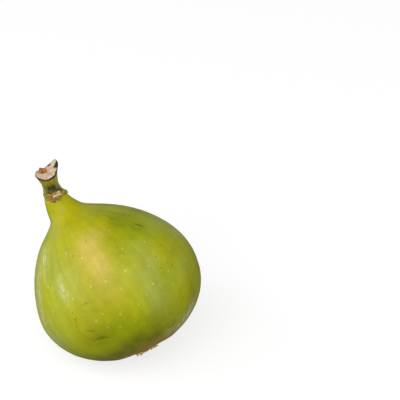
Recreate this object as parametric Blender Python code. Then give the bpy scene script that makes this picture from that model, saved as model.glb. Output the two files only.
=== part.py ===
"""A fresh green fig as picked, with its stalk, lying tipped over on its rounded lower side.

Metres, +Z up, with the origin at the centre of the small flat spot that the fig rests on.

Each piece is first described in the fig's own axes: Z runs from the eye (the small scaly opening at the
blossom end, at height 0) up to the neck, and X and Y run across. The finished pieces are then tipped
together to the way the fig lies.
"""

import math
import random

import bmesh
import bpy
from mathutils import Matrix, Vector

MM = 0.001
GAP = 0.3 * MM  # clear space where one piece meets the next
UP = Vector((0.0, 0.0, 1.0))

# How the fig lies: the neck leans from upright, towards a heading, and the fruit is rolled about its own axis
LEAN = math.radians(41.6)
HEADING = math.radians(145.8)
ROLL = math.radians(225.3)
REST_DEPTH = 0.95 * MM  # how much of the round underside the flat spot takes off

# Body: two superellipse halves that meet at the equator
BODY_RADIUS = 25.0 * MM
EQUATOR = 21.4 * MM
EYE_END_POWER = 2.1
SHOULDER_HEIGHT = 27.0 * MM
SHOULDER_POWER = 1.68
BODY_DEPTH = 0.985  # front to back, as a share of the width

# Neck: a short cone that the shoulder runs into
NECK_RADIUS = 4.3 * MM  # at NECK_HEIGHT
NECK_HEIGHT = 50.5 * MM
NECK_TAPER = 0.27
NECK_BLEND = 3.0 * MM
# On the +X side the neck runs out more over the shoulder, by this much more taper and rounding
WIDE_SIDE_TAPER = 0.12
WIDE_SIDE_TOP = 53.5 * MM  # the height where that taper starts
WIDE_SIDE_BLEND = 0.6 * MM

# Low ribs and unevenness of the skin, as (lobes round the fruit, phase, share of the radius)
SWELLS = ((2, 0.6, 0.008), (3, 1.9, 0.006), (5, 0.3, 0.004), (9, 2.2, 0.0028), (14, 1.1, 0.0022))
SWELL_TWIST = 0.35  # radians that the ribs wander round the fruit on their way up

# The line down the middle of fruit, neck and stalk, as (height, across, depth)
CENTRE_LINE = (
    (0.0 * MM, 0.8 * MM, 0.0 * MM),
    (9.0 * MM, -0.1 * MM, 0.0 * MM),
    (21.0 * MM, -0.9 * MM, 0.0 * MM),
    (33.0 * MM, -1.2 * MM, 0.0 * MM),
    (42.0 * MM, -1.7 * MM, 0.0 * MM),
    (47.0 * MM, -1.85 * MM, -0.2 * MM),
    (51.0 * MM, -1.9 * MM, -0.9 * MM),
    (54.9 * MM, -1.25 * MM, -2.1 * MM),
    (58.5 * MM, 0.1 * MM, -3.6 * MM),
    (64.0 * MM, 1.8 * MM, -5.9 * MM),
)
TANGENT_STEP = 0.2 * MM
BEND_START = 43.0 * MM  # below this the rings stay level
BEND_END = 50.0 * MM  # above this they stand square to the centre line

# Mesh of the fruit
FRUIT_SIDES = 64
LOWER_RINGS = 17
UPPER_RINGS = 25
RING_CROWDING = 0.9  # under 1 draws the upper rings closer together towards the neck

# Eye: a shallow dent with a scaly plug in it
EYE_PLACE = (-4.2 * MM, -1.4 * MM)  # a little off the middle
DENT_DEPTH = 1.9 * MM
DENT_RADIUS = 5.5 * MM
PLUG_RADIUS = 3.1 * MM
PLUG_THICKNESS = 1.1 * MM
PLUG_EDGE = 0.4  # thickness of its edge, as a share
PLUG_SIDES = 24
PLUG_RINGS = 4
# Rows of eye scales, from the outermost, as (count, distance out, length, width, lean outwards in degrees)
EYE_ROWS = (
    (11, 2.75 * MM, 1.5 * MM, 1.5 * MM, 40.0),
    (8, 1.95 * MM, 1.45 * MM, 1.3 * MM, 20.0),
    (5, 0.95 * MM, 1.3 * MM, 1.1 * MM, -2.0),
)
SCALE_THICKNESS = 0.62 * MM
SCALE_CURL = math.radians(-14.0)
# Width of a scale or bract along its length, as (share of the length, share of the width)
BLADE_ROWS = ((0.0, 0.85), (0.4, 1.0), (0.75, 0.72), (1.0, 0.3))
SCALE_SUNK = 0.35 * MM  # how far under the plug's back a scale starts
EYE_SEED = 11
# How far each scale strays from its row: angle round in radians, lean in degrees, length and width as shares
STRAY_ANGLE = 0.08
STRAY_LEAN = 9.0
STRAY_LENGTH = (0.82, 1.12)
STRAY_WIDTH = (0.9, 1.1)

# Bract collar between neck and stalk
COLLAR_HEIGHT = 54.9 * MM  # on the centre line
COLLAR_THICKNESS = 0.7 * MM
COLLAR_RADIUS = 3.35 * MM
# Section of the collar, as (share of the half thickness, share of the radius)
COLLAR_SECTION = ((-1.0, 0.9), (-0.33, 1.0), (0.33, 1.0), (1.0, 0.88))
COLLAR_LOBES = (5, 0.7, 0.03)  # lobes round it, phase, share of the radius
COLLAR_SIDES = 28
# Bracts on the collar, as (angle round, reach, width, lean outwards, further curl), angles in degrees
BRACTS = (
    (-110.0, 1.9 * MM, 1.9 * MM, 66.0, 34.0),
    (-80.0, 2.2 * MM, 2.2 * MM, 58.0, 40.0),
    (-54.0, 1.9 * MM, 1.4 * MM, 44.0, -36.0),
    (-150.0, 1.35 * MM, 1.7 * MM, 56.0, 10.0),
    (2.0, 1.75 * MM, 2.6 * MM, 98.0, 14.0),
    (118.0, 1.8 * MM, 2.5 * MM, 66.0, 20.0),
)
BRACT_THICKNESS = 0.65 * MM
BRACT_ROOT = 0.45 * MM

# Stalk: distances along it are measured up from the collar
STALK_START = 0.65 * MM
STALK_BASE_RADIUS = 2.85 * MM
STALK_WAIST_RADIUS = 2.25 * MM
STALK_WAIST = 2.9 * MM
STALK_END = 6.7 * MM  # mean height of the cut end
CUT_SLANT = 1.1 * MM  # the cut is lower at the front and higher at the back by this
FLARE_SIDE = 1.45 * MM  # how far the end spreads to left and right
FLARE_FRONT = 0.65 * MM
FLARE_POWER = 1.7
SPUR_SIDE_FLARE = 0.6  # the side with the spur spreads less, as a share
SPUR_ANGLE = math.radians(22.0)
SPUR_HEIGHT = 1.95 * MM
SPUR_SPREAD = math.radians(32.0)
SPUR_BLUNT = 2.8
STALK_SIDES = 28
STALK_RINGS = 10
CUT_DISH = 0.7 * MM  # depth of the hollow in the cut face
CUT_EDGE = 0.82  # the cut face inside the rim, as a share of the end's radius
CUT_EDGE_DROP = 0.2 * MM
CUT_MIDDLE = 7.0 * MM  # height of the hollow's middle before the dish
# Rings inside that edge, as (share of the end's radius, how far they have levelled to the middle)
CUT_RINGS = ((0.55, 0.6), (0.28, 0.95))

SHARP_EDGE = math.radians(50.0)  # edges that turn by more than this are shaded sharp

# Principled finishes, as (colour, roughness)
FRUIT_FINISH = ((0.36, 0.42, 0.045), 0.38)
STALK_FINISH = ((0.16, 0.19, 0.035), 0.55)
BRACT_FINISH = ((0.33, 0.21, 0.09), 0.8)
EYE_FINISH = ((0.30, 0.20, 0.11), 0.85)


def smooth_step(low, high, value):
    """0 below low, 1 above high, and a smooth rise between."""
    share = min(1.0, max(0.0, (value - low) / (high - low)))
    return share * share * (3.0 - 2.0 * share)


def smooth_max(first, second, blend):
    """The larger of two values, rounded where they cross."""
    near = max(0.0, blend - abs(first - second)) / blend
    return max(first, second) + near * near * blend / 4.0


def centre(height):
    """The point of the centre line at this height, on a smooth curve through its stations."""
    stations = CENTRE_LINE
    last = len(stations) - 2
    index = next((i for i in range(last) if height < stations[i + 1][0]), last)
    low, high = stations[index], stations[index + 1]
    before = stations[max(index - 1, 0)]
    after = stations[min(index + 2, len(stations) - 1)]
    span = high[0] - low[0]
    share = (height - low[0]) / span
    place = []
    for axis in (1, 2):
        slope_low = (high[axis] - before[axis]) / (high[0] - before[0]) * span
        slope_high = (after[axis] - low[axis]) / (after[0] - low[0]) * span
        square, cube = share**2, share**3
        place.append(
            (2 * cube - 3 * square + 1) * low[axis]
            + (cube - 2 * square + share) * slope_low
            + (3 * square - 2 * cube) * high[axis]
            + (cube - square) * slope_high
        )
    return Vector((place[0], place[1], height))


def cross_axes(height):
    """The centre point, the direction of the centre line and two directions across it."""
    along = (centre(height + TANGENT_STEP) - centre(height - TANGENT_STEP)).normalized()
    along = UP.lerp(along, smooth_step(BEND_START, BEND_END, height)).normalized()
    across = Vector((1.0, 0.0, 0.0))
    across = (across - across.dot(along) * along).normalized()
    return centre(height), along, across, along.cross(across)


def body_radius(angle, height):
    """Radius of body and neck on this side, at a height above the equator."""
    share = min(1.0, (height - EQUATOR) / SHOULDER_HEIGHT)
    shoulder = BODY_RADIUS * (1.0 - share**SHOULDER_POWER) ** (1.0 / SHOULDER_POWER)
    wide = (0.5 + 0.5 * math.cos(angle)) ** 2
    neck = NECK_RADIUS + NECK_TAPER * (NECK_HEIGHT - height)
    neck += WIDE_SIDE_TAPER * wide * (WIDE_SIDE_TOP - height)
    return smooth_max(shoulder, min(neck, BODY_RADIUS / 2.0), NECK_BLEND + WIDE_SIDE_BLEND * wide)


def swell(angle, height):
    """How much wider than a round one the fruit is at this place, as a factor."""
    fade = math.sin(math.pi * min(1.0, height / (2.0 * EQUATOR))) if height < EQUATOR else 1.0
    turned = angle + SWELL_TWIST * math.sin(height / EQUATOR)
    return 1.0 + fade * sum(part * math.cos(lobes * turned + phase) for lobes, phase, part in SWELLS)


def dent(distance):
    """How far the eye's dent lifts the underside at this distance from the eye."""
    return DENT_DEPTH * (1.0 - smooth_step(0.0, DENT_RADIUS, distance))


def underside(x, y):
    """Height of the underside, with the dent, at a place near the eye."""
    middle = centre(0.0)
    share = math.hypot(x - middle.x, (y - middle.y) / BODY_DEPTH) / BODY_RADIUS
    height = EQUATOR * (1.0 - (1.0 - share**EYE_END_POWER) ** (1.0 / EYE_END_POWER))
    return height + dent(math.hypot(x - EYE_PLACE[0], y - EYE_PLACE[1]))


def lower_ring(share):
    """(height, radius) of a ring of the lower half, from the bottom at share 0 to the equator at share 1."""
    angle = 0.5 * math.pi * share
    power = 2.0 / EYE_END_POWER
    return EQUATOR * (1.0 - math.cos(angle) ** power), BODY_RADIUS * math.sin(angle) ** power


def fruit_ring(bm, height, radius_at):
    """Adds one ring of the fruit's skin round the centre line, with radius_at(angle) as its radius."""
    middle, along, across, away = cross_axes(height)
    depth = 1.0 + (BODY_DEPTH - 1.0) * (1.0 - smooth_step(BEND_START, BEND_END, height))
    ring = []
    for i in range(FRUIT_SIDES):
        angle = 2.0 * math.pi * i / FRUIT_SIDES
        reach = radius_at(angle) * swell(angle, height)
        place = middle + reach * (math.cos(angle) * across + math.sin(angle) * depth * away)
        if height < EQUATOR:
            place.z += dent(math.hypot(place.x - EYE_PLACE[0], place.y - EYE_PLACE[1]))
        ring.append(bm.verts.new(place))
    return ring


def bridge(bm, lower, upper):
    """Faces between two rings of as many vertices, facing out when the rings run anticlockwise going up."""
    for i, vert in enumerate(lower):
        j = (i + 1) % len(lower)
        bm.faces.new((vert, lower[j], upper[j], upper[i]))


def fan(bm, ring, tip, top):
    """Closes a ring with triangles to one vertex, facing up if it is a top."""
    for i, vert in enumerate(ring):
        following = ring[(i + 1) % len(ring)]
        bm.faces.new((vert, following, tip) if top else (following, vert, tip))


def new_object(name, bm, finish=None):
    """A smooth-shaded object from a bmesh."""
    bmesh.ops.recalc_face_normals(bm, faces=bm.faces[:])
    mesh = bpy.data.meshes.new(name)
    bm.to_mesh(mesh)
    bm.free()
    mesh.shade_smooth()
    mesh.set_sharp_from_angle(angle=SHARP_EDGE)
    piece = bpy.data.objects.new(name, mesh)
    bpy.context.scene.collection.objects.link(piece)
    if finish:
        mesh.materials.append(material(name, *finish))
    return piece


def material(name, colour, roughness):
    """A plain Principled material."""
    made = bpy.data.materials.new(name)
    made.use_nodes = True
    shader = made.node_tree.nodes["Principled BSDF"]
    shader.inputs["Base Color"].default_value = (*colour, 1.0)
    shader.inputs["Roughness"].default_value = roughness
    return made


def build_fruit():
    """The fruit with its neck, still upright on its eye and round underneath."""
    bm = bmesh.new()
    rings = []
    for i in range(1, LOWER_RINGS + 1):
        height, radius = lower_ring(i / LOWER_RINGS)
        rings.append(fruit_ring(bm, height, lambda angle, r=radius: r))
    top = COLLAR_HEIGHT - COLLAR_THICKNESS / 2.0 - GAP
    for i in range(1, UPPER_RINGS + 1):
        share = math.sin(0.5 * math.pi * (i / UPPER_RINGS) ** RING_CROWDING)
        height = EQUATOR + (top - EQUATOR) * share
        rings.append(fruit_ring(bm, height, lambda angle, h=height: body_radius(angle, h)))
    middle = centre(0.0)
    bottom = bm.verts.new((middle.x, middle.y, underside(middle.x, middle.y)))
    fan(bm, rings[0], bottom, top=False)
    for lower, upper in zip(rings, rings[1:]):
        bridge(bm, lower, upper)
    bm.faces.new(rings[-1])
    return new_object("fruit", bm, FRUIT_FINISH)


def blade(root, out, up, length, width, thickness, lean, curl):
    """A thick pointed scale that grows from root. It leans from up towards out, and curls on as it goes."""
    side = up.cross(out).normalized()
    bm = bmesh.new()
    place = root.copy()
    travelled = 0.0
    rings = []
    for share, spread in BLADE_ROWS:
        angle = lean + curl * share
        ahead = math.cos(angle) * up + math.sin(angle) * out
        face = math.cos(angle) * out - math.sin(angle) * up
        place = place + (share - travelled) * length * ahead
        travelled = share
        half_width = 0.5 * width * spread
        half_thick = 0.5 * thickness
        corners = ((-1, -1), (1, -1), (1, 1), (-1, 1))
        rings.append(
            [bm.verts.new(place + a * half_width * side + b * half_thick * face) for a, b in corners]
        )
    for lower, upper in zip(rings, rings[1:]):
        bridge(bm, lower, upper)
    bm.faces.new(rings[0][::-1])
    bm.faces.new(rings[-1])
    return new_object("scale", bm)


def fuse(base, scales):
    """Joins the scales to what they grow from, in one solid."""
    group = bpy.data.collections.new(base.name + "_scales")
    bpy.context.scene.collection.children.link(group)
    for scale in scales:
        bpy.context.scene.collection.objects.unlink(scale)
        group.objects.link(scale)
    union = base.modifiers.new("Union", "BOOLEAN")
    union.operation = "UNION"
    union.operand_type = "COLLECTION"
    union.collection = group
    union.solver = "EXACT"
    fused = bpy.data.meshes.new_from_object(base.evaluated_get(bpy.context.evaluated_depsgraph_get()))
    base.modifiers.remove(union)
    base.data = fused
    for scale in scales:
        bpy.data.objects.remove(scale)
    bpy.data.collections.remove(group)
    return base


def build_eye_scales():
    """The plug of dry scales that closes the eye, sitting in the dent."""
    draw = random.Random(EYE_SEED)
    bm = bmesh.new()

    def below_skin(angle, distance, drop):
        x = EYE_PLACE[0] + distance * math.cos(angle)
        y = EYE_PLACE[1] + distance * math.sin(angle)
        return Vector((x, y, underside(x, y) - GAP - drop))

    def plug_ring(radius, drop):
        angles = (2.0 * math.pi * i / PLUG_SIDES for i in range(PLUG_SIDES))
        return [bm.verts.new(below_skin(angle, radius, drop)) for angle in angles]

    shares = [i / PLUG_RINGS for i in range(1, PLUG_RINGS + 1)]
    rings = [
        plug_ring(PLUG_RADIUS * share, PLUG_THICKNESS * (1.0 - (1.0 - PLUG_EDGE) * share**3))
        for share in shares
    ]
    rings += [plug_ring(PLUG_RADIUS * share, 0.0) for share in reversed(shares)]
    for lower, upper in zip(rings, rings[1:]):
        bridge(bm, lower, upper)
    fan(bm, rings[0], bm.verts.new(below_skin(0.0, 0.0, PLUG_THICKNESS)), top=False)
    fan(bm, rings[-1], bm.verts.new(below_skin(0.0, 0.0, 0.0)), top=True)
    plug = new_object("eye_scales", bm, EYE_FINISH)

    scales = []
    for row, (count, distance, length, width, lean) in enumerate(EYE_ROWS):
        for i in range(count):
            angle = 2.0 * math.pi * (i + 0.5 * (row % 2)) / count + draw.uniform(-STRAY_ANGLE, STRAY_ANGLE)
            out = Vector((math.cos(angle), math.sin(angle), 0.0))
            tip_lean = math.radians(lean + draw.uniform(-STRAY_LEAN, STRAY_LEAN))
            scales.append(
                blade(
                    below_skin(angle, distance, SCALE_SUNK),
                    out,
                    -UP,
                    length * draw.uniform(*STRAY_LENGTH),
                    width * draw.uniform(*STRAY_WIDTH),
                    SCALE_THICKNESS,
                    tip_lean,
                    SCALE_CURL,
                )
            )
    return fuse(plug, scales)


def build_bract_collar():
    """The thin ring where the stalk joins, with the dried bracts that grow from its rim."""
    middle, along, across, away = cross_axes(COLLAR_HEIGHT)
    bm = bmesh.new()
    lobes, phase, depth = COLLAR_LOBES
    rings = []
    for lift, share in COLLAR_SECTION:
        ring = []
        for i in range(COLLAR_SIDES):
            angle = 2.0 * math.pi * i / COLLAR_SIDES
            reach = share * COLLAR_RADIUS * (1.0 + depth * math.cos(lobes * angle + phase))
            out = math.cos(angle) * across + math.sin(angle) * away
            ring.append(bm.verts.new(middle + reach * out + lift * COLLAR_THICKNESS / 2.0 * along))
        rings.append(ring)
    for lower, upper in zip(rings, rings[1:]):
        bridge(bm, lower, upper)
    bm.faces.new(rings[0][::-1])
    bm.faces.new(rings[-1])
    collar = new_object("bract_collar", bm, BRACT_FINISH)

    bracts = []
    for degrees, reach, width, lean, curl in BRACTS:
        angle = math.radians(degrees)
        out = math.cos(angle) * across + math.sin(angle) * away
        root = middle + (COLLAR_RADIUS - BRACT_ROOT) * out
        bracts.append(
            blade(root, out, along, reach, width, BRACT_THICKNESS, math.radians(lean), math.radians(curl))
        )
    return fuse(collar, bracts)


def cut_height(angle):
    """How far up the stalk its broken end reaches on this side, with the spur that was torn off the branch."""
    turn = math.remainder(angle - SPUR_ANGLE, 2.0 * math.pi)
    spur = SPUR_HEIGHT * math.exp(-(abs(turn / SPUR_SPREAD) ** SPUR_BLUNT))
    return STALK_END + CUT_SLANT * math.sin(angle) + spur


def stalk_radius(angle, travel):
    """Radius of the stalk at this distance up from the collar: a waist, then a flare to the cut end."""
    if travel < STALK_WAIST:
        pinch = smooth_step(0.0, STALK_WAIST, travel)
        return STALK_BASE_RADIUS + pinch * (STALK_WAIST_RADIUS - STALK_BASE_RADIUS)
    flare = FLARE_FRONT + (FLARE_SIDE - FLARE_FRONT) * math.cos(angle) ** 2
    if math.cos(angle) > 0.0:
        flare *= SPUR_SIDE_FLARE
    return STALK_WAIST_RADIUS + flare * ((travel - STALK_WAIST) / (STALK_END - STALK_WAIST)) ** FLARE_POWER


def build_stalk():
    """The green stalk, from the collar to its slanting, hollowed cut end."""
    middle, along, across, away = cross_axes(COLLAR_HEIGHT)
    bm = bmesh.new()

    def place(angle, travel, inward=1.0, drop=0.0):
        out = math.cos(angle) * across + math.sin(angle) * away
        return bm.verts.new(middle + inward * stalk_radius(angle, travel) * out + (travel - drop) * along)

    angles = [2.0 * math.pi * i / STALK_SIDES for i in range(STALK_SIDES)]
    rings = []
    for i in range(STALK_RINGS + 1):
        share = i / STALK_RINGS
        rings.append([place(a, STALK_START + share * (cut_height(a) - STALK_START)) for a in angles])
    rings.append([place(a, cut_height(a), CUT_EDGE, CUT_EDGE_DROP) for a in angles])
    for inward, levelled in CUT_RINGS:
        ring = []
        for a in angles:
            height = CUT_MIDDLE + (1.0 - levelled) * (cut_height(a) - CUT_MIDDLE)
            out = math.cos(a) * across + math.sin(a) * away
            reach = inward * stalk_radius(a, STALK_END)
            ring.append(bm.verts.new(middle + reach * out + (height - CUT_DISH) * along))
        rings.append(ring)
    for lower, upper in zip(rings, rings[1:]):
        bridge(bm, lower, upper)
    fan(bm, rings[-1], bm.verts.new(middle + (CUT_MIDDLE - CUT_DISH) * along), top=True)
    bm.faces.new(rings[0][::-1])
    return new_object("stalk", bm, STALK_FINISH)


def lay_down(pieces):
    """Tips the pieces over, cuts the flat spot under the fruit and puts its centre at the origin."""
    tip = Matrix.Rotation(HEADING, 4, "Z") @ Matrix.Rotation(LEAN, 4, "Y") @ Matrix.Rotation(ROLL, 4, "Z")
    for piece in pieces:
        piece.data.transform(tip)
    fruit = next(piece for piece in pieces if piece.name == "fruit")
    floor = min(vert.co.z for vert in fruit.data.vertices) + REST_DEPTH

    bm = bmesh.new()
    bm.from_mesh(fruit.data)
    everything = bm.verts[:] + bm.edges[:] + bm.faces[:]
    cut = bmesh.ops.bisect_plane(
        bm, geom=everything, plane_co=(0.0, 0.0, floor), plane_no=(0.0, 0.0, -1.0), clear_outer=True
    )
    rim = [item for item in cut["geom_cut"] if isinstance(item, bmesh.types.BMEdge)]
    corners = [item for item in cut["geom_cut"] if isinstance(item, bmesh.types.BMVert)]
    for corner in corners:
        corner.co.z = floor
    bmesh.ops.edgeloop_fill(bm, edges=rim)
    spot = sum((corner.co for corner in corners), Vector()) / len(corners)
    bm.to_mesh(fruit.data)
    bm.free()
    for piece in pieces:
        piece.data.transform(Matrix.Translation(-spot))


def main():
    for old in list(bpy.data.objects):
        bpy.data.objects.remove(old)
    lay_down([build_fruit(), build_eye_scales(), build_bract_collar(), build_stalk()])


main()
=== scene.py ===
"""The looks of a fresh green fig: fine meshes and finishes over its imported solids.

The fruit, the dry scales in its eye, the bract collar and the cut stalk each take the place of the solid of
the same name and keep its sizes. Each is first formed in the fig's own axes, where Z runs from the eye at
height 0 up to the neck, and is then laid on the floor as the solids lie. Lengths are in metres, but tables
and finishes take millimetres. Marks on the skin are placed by the pixel where the photograph shows them, in
its frame of 400 by 400.
"""

from __future__ import annotations

import logging
import math
import random
from dataclasses import dataclass, field
from enum import Enum

import bpy
import numpy as np
from mathutils import Matrix, Vector, noise
from mathutils.bvhtree import BVHTree
from mathutils.kdtree import KDTree

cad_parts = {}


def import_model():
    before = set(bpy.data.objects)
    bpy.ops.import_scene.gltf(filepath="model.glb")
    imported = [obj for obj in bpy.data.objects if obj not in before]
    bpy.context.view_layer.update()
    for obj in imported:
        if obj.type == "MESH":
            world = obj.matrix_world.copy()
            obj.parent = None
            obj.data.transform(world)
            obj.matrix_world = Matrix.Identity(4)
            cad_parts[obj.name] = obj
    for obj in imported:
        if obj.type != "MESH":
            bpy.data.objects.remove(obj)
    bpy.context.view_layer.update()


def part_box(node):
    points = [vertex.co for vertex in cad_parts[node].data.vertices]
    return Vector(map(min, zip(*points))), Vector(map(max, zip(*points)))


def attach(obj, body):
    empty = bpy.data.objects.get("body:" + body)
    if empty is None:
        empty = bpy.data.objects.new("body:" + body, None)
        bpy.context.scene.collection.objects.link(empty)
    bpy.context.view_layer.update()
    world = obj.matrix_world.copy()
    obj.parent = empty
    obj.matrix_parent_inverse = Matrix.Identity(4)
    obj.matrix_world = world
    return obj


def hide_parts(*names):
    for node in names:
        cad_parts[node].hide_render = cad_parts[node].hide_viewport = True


LOG = logging.getLogger("fig")
MM = 0.001
UP = Vector((0.0, 0.0, 1.0))
FULL_TURN = 2.0 * math.pi
PHOTO_SIDE = 400.0  # pixels
NOISE_SEED = 8  # of the noise that crumples the dry blades

Colour = tuple[float, float, float]
Pixel = tuple[float, float]
Row = tuple[float, ...]
Socket = bpy.types.NodeSocket


def srgb(red: int, green: int, blue: int) -> Colour:
    """Turns a colour as a screen shows it, from 0 to 255, into the linear values that shaders take."""
    shares = (red / 255.0, green / 255.0, blue / 255.0)
    return tuple(c / 12.92 if c <= 0.04045 else ((c + 0.055) / 1.055) ** 2.4 for c in shares)


def smooth_step(low: float, high: float, value: np.ndarray) -> np.ndarray:
    """Rises smoothly from 0 where the value is low to 1 where it is high."""
    share = np.clip((value - low) / (high - low), 0.0, 1.0)
    return share * share * (3.0 - 2.0 * share)


def smooth_max(first: np.ndarray, second: np.ndarray, blend: np.ndarray) -> np.ndarray:
    """Takes the larger of two values, rounded as far as the blend reaches from where they cross."""
    near = np.maximum(0.0, blend - np.abs(first - second)) / blend
    return np.maximum(first, second) + near * near * blend / 4.0


def hump(value: np.ndarray, middle: float, width: float, power: int = 2) -> np.ndarray:
    """Gives 1 in the middle and fades away over the width on both sides."""
    return np.exp(-(((value - middle) / width) ** power))


def noise_at(points: np.ndarray, scale: float, shift: float) -> np.ndarray:
    """Reads smooth noise from -1 to 1 at each row of points, scaled and then shifted."""
    return np.array([noise.noise(Vector(point)) for point in points * scale + shift])


@dataclass
class Shape:
    """A mesh while it is formed: its points one a row, its faces, and named values, three a point."""

    points: np.ndarray
    faces: list[tuple[int, ...]]
    values: dict[str, np.ndarray] = field(default_factory=dict)

    def __post_init__(self) -> None:
        """Keeps where each point first is in the fig's own axes, in millimetres, for the finishes."""
        self.values.setdefault("axes", self.points / MM)

    @classmethod
    def from_rings(cls, rings: list[np.ndarray], bottom: np.ndarray, top: np.ndarray) -> Shape:
        """Joins rings into a closed body.

        Args:
            rings: Rings of as many points each, anticlockwise seen from above, from the bottom up.
            bottom: Point that closes the first ring.
            top: Point that closes the last ring.

        Returns:
            The body, with its points in the order of the rings, then the bottom, then the top.
        """
        count = len(rings[0])
        end = len(rings) * count
        sides = [(i, (i + 1) % count) for i in range(count)]
        faces = [
            (low + i, low + j, low + count + j, low + count + i)
            for low in range(0, end - count, count)
            for i, j in sides
        ]
        for i, j in sides:
            faces += [(j, i, end), (end - count + i, end - count + j, end + 1)]
        return cls(np.concatenate([*rings, [bottom], [top]]), faces)

    @classmethod
    def from_sheet(cls, front: np.ndarray, back: np.ndarray) -> Shape:
        """Joins two grids of points into a closed sheet.

        Args:
            front: Points of the front, as rows by columns by 3.
            back: Points of the back, in the same order.

        Returns:
            The sheet, with the front's points before the back's.
        """
        rows, columns = front.shape[:2]
        size = rows * columns
        faces = []
        for a in (row * columns + column for row in range(rows - 1) for column in range(columns - 1)):
            b = a + columns
            faces += [(a, a + 1, b + 1, b), (size + a, size + b, size + b + 1, size + a + 1)]
        rim = list(range(columns))
        rim += range(2 * columns - 1, size, columns)
        rim += range(size - 2, size - columns - 1, -1)
        rim += range(size - 2 * columns, 0, -columns)
        faces += [(b, a, size + a, size + b) for a, b in zip(rim, rim[1:] + rim[:1])]
        return cls(np.concatenate((front.reshape(-1, 3), back.reshape(-1, 3))), faces)

    @classmethod
    def together(cls, shapes: list[Shape]) -> Shape:
        """Puts several shapes into one.

        Args:
            shapes: The shapes, all with the same named values.

        Returns:
            One shape with all their faces.
        """
        faces = []
        start = 0
        for shape in shapes:
            faces += [tuple(start + corner for corner in face) for face in shape.faces]
            start += len(shape.points)
        values = {name: np.concatenate([s.values[name] for s in shapes]) for name in shapes[0].values}
        return cls(np.concatenate([shape.points for shape in shapes]), faces, values)

    def keep(self, name: str, value: Row) -> None:
        """Keeps the same three values on every point."""
        self.values[name] = np.tile(value, (len(self.points), 1))

    def mesh(self, name: str) -> bpy.types.Mesh:
        """Makes a smooth-shaded mesh with the values as its attributes.

        Args:
            name: Name of the mesh.

        Returns:
            The mesh.
        """
        made = bpy.data.meshes.new(name)
        made.from_pydata(self.points.tolist(), [], self.faces)
        for label, numbers in self.values.items():
            layer = made.attributes.new(label, "FLOAT_VECTOR", "POINT")
            layer.data.foreach_set("vector", np.ascontiguousarray(numbers, np.float32).ravel())
        made.shade_smooth()
        return made

    def relieve(self, heights: np.ndarray) -> None:
        """Moves each point out along the surface's normal.

        Args:
            heights: How far, one a point.
        """
        mesh = self.mesh("plain")
        normals = np.empty(len(self.points) * 3, np.float32)
        mesh.vertex_normals.foreach_get("vector", normals)
        bpy.data.meshes.remove(mesh)
        self.points = self.points + normals.reshape(-1, 3) * heights[:, None]

    def moved(self, move: Matrix) -> Shape:
        """Gives this shape as the move leaves it, with the same faces and values."""
        turned = self.points @ np.array(move.to_3x3()).T + np.array(move.translation)
        return Shape(turned, self.faces, self.values)


def link(name: str, data: bpy.types.ID) -> bpy.types.Object:
    """Puts data into the scene as an object.

    Args:
        name: Name of the object.
        data: Its mesh, lamp or lens.

    Returns:
        The object.
    """
    made = bpy.data.objects.new(name, data)
    bpy.context.scene.collection.objects.link(made)
    return made


def add_piece(name: str, shape: Shape, material: bpy.types.Material) -> bpy.types.Object:
    """Adds a finished piece that stands for a solid and is named after it.

    Args:
        name: Node of the solid.
        shape: The piece as it lies on the floor.
        material: Its finish.

    Returns:
        The piece.
    """
    mesh = shape.mesh(name + "_fine")
    mesh.materials.append(material)
    piece = link(name + "_fine", mesh)
    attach(piece, "root")
    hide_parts(name)
    LOG.info("%s: %d points, %d faces", piece.name, len(shape.points), len(shape.faces))
    return piece


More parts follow.
